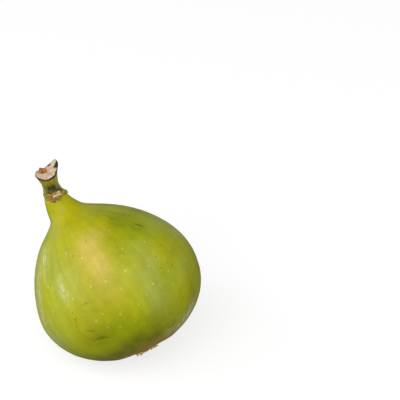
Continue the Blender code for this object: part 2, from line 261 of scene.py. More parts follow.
@dataclass(frozen=True)
class FigAxes:
    """The fig's own axes and the line down the middle of fruit, neck and stalk."""

    lean: float = math.radians(41.6)  # from upright, as the fig lies
    heading: float = math.radians(145.8)  # where it leans to
    roll: float = math.radians(225.3)  # about its own axis
    rest_depth: float = 0.95 * MM  # how much of the round underside the flat spot takes off
    # Height, across and depth of each point of the line, in millimetres
    stations: tuple[Row, ...] = (
        (0.0, 0.8, 0.0), (9.0, -0.1, 0.0), (21.0, -0.9, 0.0), (33.0, -1.2, 0.0), (42.0, -1.7, 0.0),
        (47.0, -1.85, -0.2), (51.0, -1.9, -0.9), (54.9, -1.25, -2.1), (58.5, 0.1, -3.6), (64.0, 1.8, -5.9),
    )
    tangent_step: float = 0.2 * MM  # half the step over which the line's direction is taken
    bend_start: float = 43.0 * MM  # cross-sections are level up to here
    bend_end: float = 50.0 * MM  # and square to the line from here

    def centre(self, height: float) -> Vector:
        """Finds the point of the middle line at a height, on a smooth curve through its stations.

        Args:
            height: Height above the eye.

        Returns:
            The point.
        """
        stations = [[value * MM for value in row] for row in self.stations]
        last = len(stations) - 2
        index = next((i for i in range(last) if height < stations[i + 1][0]), last)
        low, high = stations[index], stations[index + 1]
        before, after = stations[max(index - 1, 0)], stations[min(index + 2, last + 1)]
        span = high[0] - low[0]
        share = (height - low[0]) / span
        square, cube = share**2, share**3
        place = []
        for axis in (1, 2):
            slope_low = (high[axis] - before[axis]) / (high[0] - before[0]) * span
            slope_high = (after[axis] - low[axis]) / (after[0] - low[0]) * span
            place.append(
                (2 * cube - 3 * square + 1) * low[axis]
                + (cube - 2 * square + share) * slope_low
                + (3 * square - 2 * cube) * high[axis]
                + (cube - square) * slope_high
            )
        return Vector((*place, height))

    def level(self, height: float) -> float:
        """Tells how far the cross-section at a height has turned square to the line."""
        return float(smooth_step(self.bend_start, self.bend_end, np.array(height)))

    def cross(self, height: float) -> tuple[Vector, Vector, Vector, Vector]:
        """Finds the directions of the cross-section at a height.

        Args:
            height: Height above the eye.

        Returns:
            The middle, the direction along the line, and two directions across it.
        """
        step = self.tangent_step
        along = (self.centre(height + step) - self.centre(height - step)).normalized()
        along = UP.lerp(along, self.level(height)).normalized()
        across = Vector((1.0, 0.0, 0.0))
        across = (across - across.dot(along) * along).normalized()
        return self.centre(height), along, across, along.cross(across)

    def tip(self) -> Matrix:
        """Gives the turn from these axes to the way that the fig lies."""
        lean = Matrix.Rotation(self.lean, 4, "Y")
        return Matrix.Rotation(self.heading, 4, "Z") @ lean @ Matrix.Rotation(self.roll, 4, "Z")


@dataclass(frozen=True)
class Viewpoint:
    """The camera, standing where the photograph was taken from."""

    elevation: float = math.radians(32.0)
    distance: float = 0.8  # to the aim, in the middle of the frame
    frame_width: float = 119.04 * MM  # what the frame spans at that distance
    aim: Row = (26.87 * MM, 11.40 * MM, 43.68 * MM)
    sensor: float = 36.0  # width in millimetres

    def directions(self) -> tuple[Vector, Vector, Vector]:
        """Gives the picture's right, its up, and the way back to the camera."""
        back = Vector((0.0, -math.cos(self.elevation), math.sin(self.elevation)))
        return Vector((1.0, 0.0, 0.0)), back.cross(Vector((1.0, 0.0, 0.0))), back

    def ray(self, pixel: Pixel) -> tuple[Vector, Vector]:
        """Finds the line of sight through a pixel.

        Args:
            pixel: Place in the photograph.

        Returns:
            Where the line starts and its direction.
        """
        right, up, back = self.directions()
        eye = Vector(self.aim) + self.distance * back
        across = (pixel[0] / PHOTO_SIDE - 0.5) * self.frame_width
        rise = (0.5 - pixel[1] / PHOTO_SIDE) * self.frame_width
        return eye, (Vector(self.aim) + across * right + rise * up - eye).normalized()

    def build(self) -> None:
        """Makes the camera and hands it to the scene."""
        lens = bpy.data.cameras.new("viewpoint")
        lens.sensor_width = self.sensor
        lens.lens = self.sensor * self.distance / self.frame_width
        camera = link("viewpoint", lens)
        turn = Matrix(self.directions()).transposed().to_4x4()
        back = self.directions()[2]
        camera.matrix_world = Matrix.Translation(Vector(self.aim) + self.distance * back) @ turn
        bpy.context.scene.camera = camera


@dataclass(frozen=True)
class Softbox:
    """A square soft lamp that faces the fig."""

    name: str
    azimuth: float  # degrees round the fig to the right, from the camera's side
    elevation: float  # degrees above the floor
    distance: float
    size: float
    power: float  # watts

    def build(self, target: Vector) -> None:
        """Puts the lamp in its place.

        Args:
            target: Point that it faces.
        """
        azimuth, elevation = math.radians(self.azimuth), math.radians(self.elevation)
        level = Vector((math.sin(azimuth), -math.cos(azimuth), 0.0))
        out = math.cos(elevation) * level + math.sin(elevation) * UP
        lamp = bpy.data.lights.new(self.name, "AREA")
        lamp.shape = "SQUARE"
        lamp.size = self.size
        lamp.energy = self.power
        holder = link(self.name, lamp)
        holder.location = target + self.distance * out
        holder.rotation_euler = out.to_track_quat("Z", "Y").to_euler()


@dataclass(frozen=True)
class Studio:
    """The pale floor and the soft light round the fig."""

    floor_size: float = 6.0
    floor_colour: Colour = (0.34, 0.34, 0.34)
    floor_roughness: float = 0.9
    floor_specular: float = 0.1
    floor_grain: float = 900.0  # waves to the metre
    floor_glow: float = 0.73  # light towards the camera, which thins the shadow on the floor
    floor_bounce: Colour = (0.27, 0.27, 0.26)  # share of the light that it throws back onto the fig
    surround: Row = (0.82, 0.32)  # white light near the horizon and overhead
    surround_rise: Row = (0.15, 0.8)  # sines of the elevations between which it weakens
    dim_side: Row = (0.56, 0.82, 0.1)  # the way to where it is dimmer
    dim_reach: Row = (0.1, 0.9)  # cosines from there between which it dims
    dim_share: float = 0.65  # what is left of it there
    middle: Row = (0.0, 0.0, 25.0 * MM)  # what the lamps face
    lamps: tuple[Softbox, ...] = (
        Softbox("key", -14.0, 40.0, 0.9, 0.85, 6.2),
        Softbox("sheen", -78.0, 38.0, 0.7, 0.35, 0.8),
        Softbox("left", -86.0, 4.0, 0.5, 0.1, 0.24),
        Softbox("right", 100.0, 3.0, 0.5, 0.3, 0.42),
    )

    def build(self) -> None:
        """Makes the floor, the lamps and the white surround."""
        half = 0.5 * self.floor_size
        mesh = bpy.data.meshes.new("floor")
        corners = ((-half, -half, 0.0), (half, -half, 0.0), (half, half, 0.0), (-half, half, 0.0))
        mesh.from_pydata(corners, [], [(0, 1, 2, 3)])
        mesh.materials.append(self.paper())
        link("floor", mesh)
        for lamp in self.lamps:
            lamp.build(Vector(self.middle))
        world = bpy.data.worlds.new("surround")
        world.use_nodes = True
        glow = world.node_tree.nodes["Background"]
        glow.inputs["Color"].default_value = (1.0, 1.0, 1.0, 1.0)
        sheet = Sheet(world.node_tree)
        way = sheet.add("TexCoord").outputs["Generated"]
        strength = sheet.remap(sheet.split(way)[2], *self.surround_rise, *self.surround)
        side = sheet.vector("DOT_PRODUCT", way, self.dim_side)
        dim = sheet.remap(side, *self.dim_reach, 1.0, self.dim_share)
        sheet.feed(glow.inputs["Strength"], sheet.times(strength, dim))
        bpy.context.scene.world = world
        bpy.context.scene.view_settings.view_transform = "Standard"
        LOG.info("studio: floor and %d lamps", len(self.lamps))

    def paper(self) -> bpy.types.Material:
        """Makes the floor's matt white finish."""
        coat = Coat("floor_paper")
        coat.place = coat.add("TexCoord").outputs["Object"]
        coat.colour = self.floor_colour
        coat.finish(
            self.floor_roughness,
            coat.noise(coat.place, self.floor_grain, 3.0),
            (0.2, 0.05 * MM),
            {
                "Specular IOR Level": self.floor_specular,
                "Emission Color": (1.0, 1.0, 1.0),
                "Emission Strength": self.floor_glow,
            },
        )
        bounce = coat.add("BsdfDiffuse", {"Color": self.floor_bounce})
        seen = coat.add("LightPath").outputs["Is Camera Ray"]
        mixed = coat.add("MixShader", {0: seen, 1: bounce.outputs[0], 2: coat.shader.outputs[0]})
        coat.feed(coat.tree.nodes["Material Output"].inputs["Surface"], mixed.outputs[0])
        return coat.material


class Sheet:
    """Writes nodes into one node tree. An input may be a value or another node's socket."""

    def __init__(self, tree: bpy.types.NodeTree) -> None:
        """Starts on a tree."""
        self.tree = tree

    def add(self, kind: str, inputs: dict | None = None, **settings: object) -> bpy.types.Node:
        """Adds a node.

        Args:
            kind: The node's type without its usual start.
            inputs: What each input socket gets, by name or number.
            **settings: Properties of the node.

        Returns:
            The node.
        """
        node = self.tree.nodes.new("ShaderNode" + kind)
        for name, value in settings.items():
            setattr(node, name, value)
        for socket, value in (inputs or {}).items():
            self.feed(node.inputs[socket], value)
        return node

    def feed(self, socket: Socket, value: object) -> None:
        """Links a socket, or sets one that stays unlinked.

        Args:
            socket: The socket of an input.
            value: What it gets.
        """
        if isinstance(value, Socket):
            self.tree.links.new(value, socket)
        else:
            socket.default_value = (*value, 1.0) if socket.type == "RGBA" else value

    def group(self, name: str, **inputs: object) -> bpy.types.bpy_prop_collection:
        """Places a shared effect with what each of its inputs gets, and gives its outputs."""
        return self.add("Group", inputs, node_tree=bpy.data.node_groups[name]).outputs

    def attribute(self, name: str) -> Socket:
        """Reads the values of a name that the mesh keeps."""
        return self.add("Attribute", attribute_name=name).outputs["Vector"]

    def split(self, vector: Socket) -> list[Socket]:
        """Takes a vector apart into its three values."""
        return list(self.add("SeparateXYZ", {0: vector}).outputs)

    def noise(self, vector: object, scale: object, detail: float, output: int = 0) -> Socket:
        """Gives smooth noise about one half, as a number or, from output 1, as a colour."""
        return self.add("TexNoise", {"Vector": vector, "Scale": scale, "Detail": detail}).outputs[output]

    def remap(
        self, value: object, low: object, high: object, to_low: object = 0.0, to_high: object = 1.0
    ) -> Socket:
        """Carries the range from low to high smoothly over to another."""
        inputs = {0: value, 1: low, 2: high, 3: to_low, 4: to_high}
        return self.add("MapRange", inputs, interpolation_type="SMOOTHSTEP").outputs[0]

    def maths(self, operation: str, first: object, second: object = 0.0) -> Socket:
        """Works with two numbers."""
        return self.add("Math", {0: first, 1: second}, operation=operation).outputs[0]

    def times(self, first: object, second: object) -> Socket:
        """Multiplies two numbers."""
        return self.maths("MULTIPLY", first, second)

    def plus(self, first: object, second: object) -> Socket:
        """Adds two numbers."""
        return self.maths("ADD", first, second)

    def minus(self, first: object, second: object) -> Socket:
        """Takes the second number from the first."""
        return self.maths("SUBTRACT", first, second)

    def vector(self, operation: str, first: object, second: object = (0.0, 0.0, 0.0)) -> Socket:
        """Works with two vectors, and gives the number where the operation has one."""
        node = self.add("VectorMath", {0: first, 1: second}, operation=operation)
        return node.outputs["Value" if operation in ("LENGTH", "DOT_PRODUCT") else "Vector"]

    def scaled(self, vector: object, share: object) -> Socket:
        """Makes a vector or colour longer or brighter by a share."""
        return self.add("VectorMath", {0: vector, "Scale": share}, operation="SCALE").outputs[0]

    def blend(self, share: object, first: object, second: object) -> Socket:
        """Blends from one colour to another by a share."""
        return self.add("Mix", {0: share, 6: first, 7: second}, data_type="RGBA").outputs[2]


class Coat(Sheet):
    """Writes a material layer by layer, from its colour so far and the place on the fig."""

    def __init__(self, name: str) -> None:
        """Starts the material of a name."""
        self.material = bpy.data.materials.new(name)
        self.material.use_nodes = True
        super().__init__(self.material.node_tree)
        self.shader = self.tree.nodes["Principled BSDF"]
        self.place = self.attribute("axes")
        self.colour = None

    def values(self, name: str) -> list[Socket]:
        """Reads the three values of a name that the mesh keeps."""
        return self.split(self.attribute(name))

    def patches(
        self, scale: float, detail: float, low: float, high: float, least: float = 0.0, most: float = 1.0
    ) -> Socket:
        """Gives soft patches from least, where the noise is under low, to most, where it is over high."""
        return self.remap(self.noise(self.place, scale, detail), low, high, least, most)

    def lengthwise(self, stretch: Row, warp: float, detail: float) -> Socket:
        """Gives noise that is drawn out along the fruit and warped by the place."""
        run = self.vector("MULTIPLY", self.attribute("around"), stretch)
        return self.noise(self.vector("ADD", run, self.scaled(self.place, warp)), 1.0, detail)

    def tint(self, share: object, colour: object) -> None:
        """Blends the colour so far towards another by a share."""
        self.colour = self.blend(share, self.colour, colour)

    def mottle(self, scale: float, amount: float) -> None:
        """Makes the colour so far lighter and darker in patches."""
        given = {"Colour": self.colour, "Place": self.place, "Scale": scale, "Amount": amount}
        self.colour = self.group("mottle", **given)["Colour"]

    def fibres(self, count: float, run: float, amount: float) -> Socket:
        """Streaks the colour so far lengthwise.

        Args:
            count: How closely the streaks stand.
            run: How often they change on their way up.
            amount: How much lighter and darker they are.

        Returns:
            Their height.
        """
        given = {"Colour": self.colour, "Around": self.attribute("around"), "Amount": amount}
        streaks = self.group("fibres", **given, Count=count, Run=run)
        self.colour = streaks["Colour"]
        return streaks["Height"]

    def margin(self, edge: Socket, scale: float, start: float, ragged: float) -> Socket:
        """Gives the mask of a dried, ragged margin from its start outwards."""
        given = {"Edge": edge, "Place": self.place, "Scale": scale, "Start": start, "Ragged": ragged}
        return self.group("dry_edge", **given)["Mask"]

    def finish(
        self, roughness: object, height: Socket, bump: tuple[float, float], others: dict | None = None
    ) -> bpy.types.Material:
        """Feeds the shader.

        Args:
            roughness: Roughness.
            height: Relief of the surface.
            bump: Strength and depth of the relief.
            others: What the shader's other inputs get, by name.

        Returns:
            The material.
        """
        relief = self.add("Bump", {"Strength": bump[0], "Distance": bump[1], "Height": height})
        given = {"Base Color": self.colour, "Roughness": roughness, "Normal": relief.outputs[0]}
        for name, value in (given | (others or {})).items():
            self.feed(self.shader.inputs[name], value)
        return self.material


class Effect(Sheet):
    """Writes a shader group that several finishes share."""

    def __init__(self, name: str, inputs: dict[str, str], outputs: dict[str, str]) -> None:
        """Starts the group.

        Args:
            name: Name of the group.
            inputs: Its inputs, with Float, Vector or Color for each.
            outputs: Its outputs, in the same way.
        """
        super().__init__(bpy.data.node_groups.new(name, "ShaderNodeTree"))
        for names, way in ((inputs, "INPUT"), (outputs, "OUTPUT")):
            for label, kind in names.items():
                self.tree.interface.new_socket(name=label, in_out=way, socket_type="NodeSocket" + kind)
        self.given = self.tree.nodes.new("NodeGroupInput").outputs
        self.out = self.tree.nodes.new("NodeGroupOutput").inputs

    def vary(self, texture: Socket, low: float, high: float) -> None:
        """Gives out the colour, made lighter and darker by the amount.

        Args:
            texture: Where it is lighter.
            low: Value of the texture where the colour is darkest.
            high: Value where it is lightest.
        """
        amount = self.given["Amount"]
        gain = self.remap(texture, low, high, self.minus(1.0, amount), self.plus(1.0, amount))
        self.feed(self.out["Colour"], self.scaled(self.given["Colour"], gain))

    @classmethod
    def write_mottle(cls) -> None:
        """Writes soft lighter and darker patches over a colour."""
        inputs = {"Colour": "Color", "Place": "Vector", "Scale": "Float", "Amount": "Float"}
        sheet = cls("mottle", inputs, {"Colour": "Color"})
        sheet.vary(sheet.noise(sheet.given["Place"], sheet.given["Scale"], 3.0), 0.32, 0.68)

    @classmethod
    def write_fibres(cls) -> None:
        """Writes fine streaks that run lengthwise, as a colour and as a height."""
        inputs = {"Colour": "Color", "Around": "Vector", "Count": "Float", "Run": "Float", "Amount": "Float"}
        sheet = cls("fibres", inputs, {"Colour": "Color", "Height": "Float"})
        given = sheet.given
        stretch = sheet.add("CombineXYZ", {0: given["Count"], 1: given["Count"], 2: given["Run"]})
        streaks = sheet.noise(sheet.vector("MULTIPLY", given["Around"], stretch.outputs[0]), 1.0, 2.0)
        sheet.vary(streaks, 0.35, 0.65)
        sheet.feed(sheet.out["Height"], streaks)

    @classmethod
    def write_spot(cls) -> None:
        """Writes the mask of one long or round spot about a place."""
        vectors = dict.fromkeys(("Place", "Centre", "Along"), "Vector")
        sheet = cls("spot", vectors | dict.fromkeys(("Length", "Width", "Edge"), "Float"), {"Mask": "Float"})
        given = sheet.given
        offset = sheet.vector("SUBTRACT", given["Place"], given["Centre"])
        run = sheet.vector("DOT_PRODUCT", offset, given["Along"])
        aside = sheet.vector("SUBTRACT", offset, sheet.scaled(given["Along"], run))
        shares = [
            sheet.maths("DIVIDE", run, given["Length"]),
            sheet.maths("DIVIDE", sheet.vector("LENGTH", aside), given["Width"]),
        ]
        reach = sheet.maths("SQRT", sheet.plus(*(sheet.times(share, share) for share in shares)))
        inner, outer = sheet.minus(1.0, given["Edge"]), sheet.plus(1.0, given["Edge"])
        sheet.feed(sheet.out["Mask"], sheet.remap(reach, inner, outer, 1.0, 0.0))

    @classmethod
    def write_dry_edge(cls) -> None:
        """Writes the mask of a dried, ragged margin."""
        floats = dict.fromkeys(("Edge", "Scale", "Start", "Ragged"), "Float")
        sheet = cls("dry_edge", floats | {"Place": "Vector"}, {"Mask": "Float"})
        given = sheet.given
        rag = sheet.minus(sheet.noise(given["Place"], given["Scale"], 3.0), 0.5)
        shifted = sheet.plus(given["Edge"], sheet.times(rag, given["Ragged"]))
        end = sheet.plus(given["Start"], 0.22)
        sheet.feed(sheet.out["Mask"], sheet.remap(shifted, given["Start"], end))


class Tint(Enum):
    """A tint that the skin takes over a broad patch, as (attribute, which of its values). Some of them carry
    painted shade and painted sheen besides the skin's own colour.
    """

    BLUSH = ("tint_warm", 0)
    YELLOW = ("tint_warm", 1)
    DRY = ("tint_warm", 2)
    # dark green skin, with painted shade at the top, along the right edge and at the bottom
    DEEP = ("tint_cool", 0)
    # pale skin, and painted sheen on the lit left side and painted rim light along the top edge
    PALE = ("tint_cool", 1)
    # round the eye's end, and painted shade on the underside and along the right edge
    OLIVE = ("tint_cool", 2)
    # painted rim reflections and highlights
    WAX = ("tint_wax", 0)

    def add(self, values: dict[str, np.ndarray], share: np.ndarray) -> None:
        """Adds to what points have of the tint, never past 1.

        Args:
            values: Named values of the points.
            share: How much each point gets.
        """
        name, index = self.value
        kept = values[name][:, index]
        values[name][:, index] = 1.0 - (1.0 - kept) * (1.0 - share)


@dataclass(frozen=True)
class Crease:
    """A short fold with painted shade in it, or a painted highlight streak, between two pixels."""

    start: Pixel
    end: Pixel
    width: float  # half its width
    depth: float
    strength: float  # share of its own colour in it
    pale: bool = False  # a painted highlight streak in the sheen's colour, and not a fold's painted shade


@dataclass(frozen=True)
class RingScar:
    """The fine round line that something pressed into the skin, open on one side."""

    pixel: Pixel = (95.0, 321.0)
    radius: float = 5.72 * MM
    width: float = 0.2 * MM  # half the width of the line
    depth: float = 0.07 * MM
    heading: float = 205.0  # degrees anticlockwise from the picture's right to the middle of the line
    reach: float = -0.1  # cosine of the angle from there to its ends


@dataclass(frozen=True)
class SkinMarks:
    """Everything that is placed on the skin by a pixel."""

    # Pixel, reach lengthwise and round the fruit in millimetres, and strength, for each tint
    patches: tuple[tuple[Tint, tuple[Row, ...]], ...] = (
        (Tint.BLUSH, ((97, 234, 2.6, 3.0, 0.36), (87, 244, 4.4, 3.0, 0.75), (96, 262, 6.0, 3.8, 0.9))),
        (Tint.YELLOW, (
            (95, 270, 11.0, 7.5, 0.9), (66, 213, 9.0, 8.0, 0.7), (106, 228, 4.5, 3.5, 0.7),
            (72, 258, 7.0, 4.0, 0.5), (108, 300, 5.0, 5.0, 0.25), (142, 256, 5.0, 4.0, 0.4),
            (170, 250, 7.0, 5.0, 0.4),
        )),
        # dark green at the top, partly painted shade; painted shade along the right edge and at the bottom
        (Tint.DEEP, (
            (120, 218, 3.2, 8.0, 0.8), (101, 211, 3.0, 3.6, 0.5), (130, 229, 4.0, 6.0, 0.6),
            (184, 258, 8.0, 3.6, 0.25), (100, 338, 4.0, 8.0, 0.75),
        )),
        # pale skin on the right; painted sheen on the lit left side and painted rim light along the top edge
        (Tint.PALE, (
            (155, 292, 9.0, 4.2, 0.7), (142, 257, 6.0, 4.5, 0.75), (156, 215, 2.6, 12.0, 0.8),
            (174, 229, 4.0, 5.0, 0.8), (70, 282, 10.0, 5.0, 0.5), (50, 262, 9.0, 3.5, 0.4),
            (52, 230, 4.0, 3.0, 0.5), (62, 292, 4.0, 1.8, 0.8), (54, 322, 6.0, 5.0, 0.45),
            (60, 341, 4.0, 5.0, 0.7), (37, 290, 12.0, 2.0, 0.9),
        )),
        # painted shade at the bottom and along the right edge
        (Tint.OLIVE, (
            (92, 316, 6.0, 9.0, 0.14), (130, 349, 5.0, 14.0, 1.0), (156, 337, 3.5, 6.0, 0.8),
            (192, 300, 9.0, 3.4, 0.5), (197, 268, 8.0, 2.6, 0.5),
        )),
        (Tint.DRY, (
            (92, 316, 6.0, 9.0, 0.14), (133, 355, 2.4, 5.0, 0.8), (151, 346.4, 2.7, 5.0, 1.0),
            (165.6, 338, 2.5, 4.6, 1.0), (176.6, 328.6, 1.9, 3.6, 0.9), (52, 201, 0.6, 1.6, 0.6),
        )),
        # painted reflections along the left and right rims, and painted highlights on the left
        (Tint.WAX, (
            (43, 262, 4.6, 2.2, 0.55), (38.6, 288, 6.0, 1.8, 0.5), (43, 320, 6.0, 1.7, 0.5),
            (57, 342, 3.0, 4.0, 0.25), (63.4, 291, 3.2, 1.5, 0.34), (190.8, 309, 3.2, 1.8, 0.9),
            (184.2, 319.6, 3.0, 1.9, 0.85), (177, 327.4, 2.6, 1.7, 0.75), (168, 333, 2.2, 1.4, 0.4),
        )),
    )
    creases: tuple[Crease, ...] = (
        # folds with painted shade in them
        Crease((135.4, 224.0), (144.6, 226.4), 0.2 * MM, 0.14 * MM, 1.0),
        Crease((104.0, 214.4), (112.0, 218.6), 0.5 * MM, 0.05 * MM, 0.26),
        Crease((111.0, 218.4), (117.0, 220.6), 0.45 * MM, 0.05 * MM, 0.2),
        Crease((118.0, 221.8), (126.0, 226.6), 0.7 * MM, 0.04 * MM, 0.16),
        Crease((108.0, 211.6), (118.0, 213.4), 0.6 * MM, 0.04 * MM, 0.22),
        Crease((86.0, 330.6), (94.4, 331.6), 0.3 * MM, 0.07 * MM, 0.4),
        Crease((98.0, 338.8), (107.6, 337.2), 0.34 * MM, 0.1 * MM, 0.55),
        Crease((193.4, 246.0), (197.4, 259.0), 0.34 * MM, 0.1 * MM, 0.6),
        Crease((168.0, 328.5), (175.0, 322.0), 0.36 * MM, 0.05 * MM, 0.4),
        # the next two are painted highlights along the top edge
        Crease((172.4, 229.4), (182.6, 237.0), 0.3 * MM, 0.0, 0.8, True),
        Crease((155.0, 220.6), (168.0, 227.6), 0.3 * MM, 0.0, 0.25, True),
        Crease((177.0, 325.0), (184.0, 315.4), 0.2 * MM, 0.05 * MM, 0.5),
    )
    ring: RingScar = RingScar()
    # Pixel and radius in millimetres of each pore, and then of each brown dot
    pale_dots: tuple[Row, ...] = (
        (65.9, 253.1, 0.32), (82.1, 258.2, 0.3), (60.4, 275.1, 0.3), (72.0, 235.7, 0.24),
        (77.3, 279.6, 0.18), (90.9, 286.5, 0.3), (105.5, 281.7, 0.3), (48.3, 287.2, 0.32),
        (72.9, 298.9, 0.28), (48.6, 303.8, 0.26), (47.6, 321.6, 0.28), (75.0, 316.9, 0.22),
        (102.6, 314.0, 0.26), (96.4, 320.9, 0.28), (107.4, 327.5, 0.26), (67.4, 336.0, 0.24),
        (97.5, 341.1, 0.24), (149.4, 223.4, 0.26), (136.0, 226.3, 0.22), (109.6, 230.4, 0.26),
        (144.8, 241.6, 0.28), (122.7, 248.6, 0.3), (168.3, 248.6, 0.26), (148.5, 265.5, 0.28),
        (125.2, 270.8, 0.34), (168.5, 271.1, 0.26), (153.2, 283.6, 0.32), (167.8, 281.5, 0.22),
        (173.4, 284.6, 0.24), (184.5, 282.2, 0.22), (186.4, 260.4, 0.22), (121.3, 288.9, 0.26),
        (147.0, 295.0, 0.22), (163.0, 293.5, 0.22), (157.5, 303.0, 0.22), (138.5, 304.5, 0.24),
        (120.0, 314.5, 0.28), (135.6, 321.8, 0.26), (120.4, 326.7, 0.26), (171.7, 317.3, 0.26),
        (128.2, 347.5, 0.24), (94.0, 205.5, 0.22), (83.0, 230.7, 0.2),
    )
    brown_dots: tuple[Row, ...] = (
        (85.9, 241.6, 0.24), (73.3, 255.7, 0.3), (46.4, 267.2, 0.2), (43.4, 277.3, 0.22),
        (50.2, 277.3, 0.22), (50.4, 284.6, 0.24), (73.4, 313.4, 0.24), (160.4, 245.4, 0.26),
        (156.0, 256.9, 0.24), (117.6, 247.5, 0.18), (108.7, 237.8, 0.18), (161.4, 268.0, 0.24),
        (163.8, 272.0, 0.22), (172.2, 265.4, 0.26), (175.2, 268.6, 0.22), (165.6, 275.2, 0.2),
        (184.0, 297.0, 0.22), (186.6, 293.0, 0.2), (120.0, 253.0, 0.24), (123.4, 253.8, 0.2),
        (134.8, 347.7, 0.36), (59.4, 288.6, 0.2), (94.4, 227.8, 0.16), (167.4, 262.0, 0.18),
    )
    seed: int = 4  # of the dots on the sides that the photograph doesn't show
    spacing: float = 3.4 * MM  # least distance between those
    count: int = 1500  # how many of them are tried
    sizes: Row = (0.16, 0.34)  # their radii in millimetres
    brown_share: float = 0.22  # how many of them are brown
    pale: Row = (1.7, 2.3)  # strength to a millimetre of radius, in view and out of it
    brown: Row = (0.75, 0.8)  # strength in view and out of it
    in_view: float = 0.5 * MM  # how far before a place the line of sight may end


class Skin:
    """The fruit's surface as the photograph shows it: finds the place on it behind a pixel."""

    def __init__(self, shape: Shape, lay: Matrix, view: Viewpoint) -> None:
        """Gets ready to look at a shape.

        Args:
            shape: The fruit in its own axes.
            lay: The move from those axes to the floor.
            view: The camera.
        """
        laid = shape.moved(lay)
        self.lay = lay
        self.view = view
        self.tree = BVHTree.FromPolygons(laid.points.tolist(), laid.faces)

    def place(self, pixel: Pixel) -> tuple[Vector, Vector]:
        """Finds the point and the normal of the skin behind a pixel, in the fig's own axes.

        Args:
            pixel: Place in the photograph. One just off the fruit takes the nearest point of its edge.

        Returns:
            The point and the normal.
        """
        start, ahead = self.view.ray(pixel)
        point, normal, _, _ = self.tree.ray_cast(start, ahead)
        if point is None:
            beside = start + ahead * (self.view.distance + (Vector(self.view.aim) - start).length) / 2.0
            point, normal, _, _ = self.tree.find_nearest(beside)
        back = self.lay.inverted()
        return back @ point, (back.to_3x3() @ normal).normalized()

    def direction(self, vector: Vector) -> Vector:
        """Turns a direction of the floor's axes into the fig's own."""
        return self.lay.to_3x3().inverted() @ vector


@dataclass(frozen=True)
class PlacedMark:
    """A crease where it lies on the skin: its middle, its direction and half its length."""

    mark: Crease
    middle: Vector
    along: Vector
    half: float


@dataclass(frozen=True)
class PlacedRing:
    """The ring scar where it lies: its middle, the way it faces and the way to the middle of its line."""

    mark: RingScar
    middle: Vector
    axis: Vector
    toward: Vector


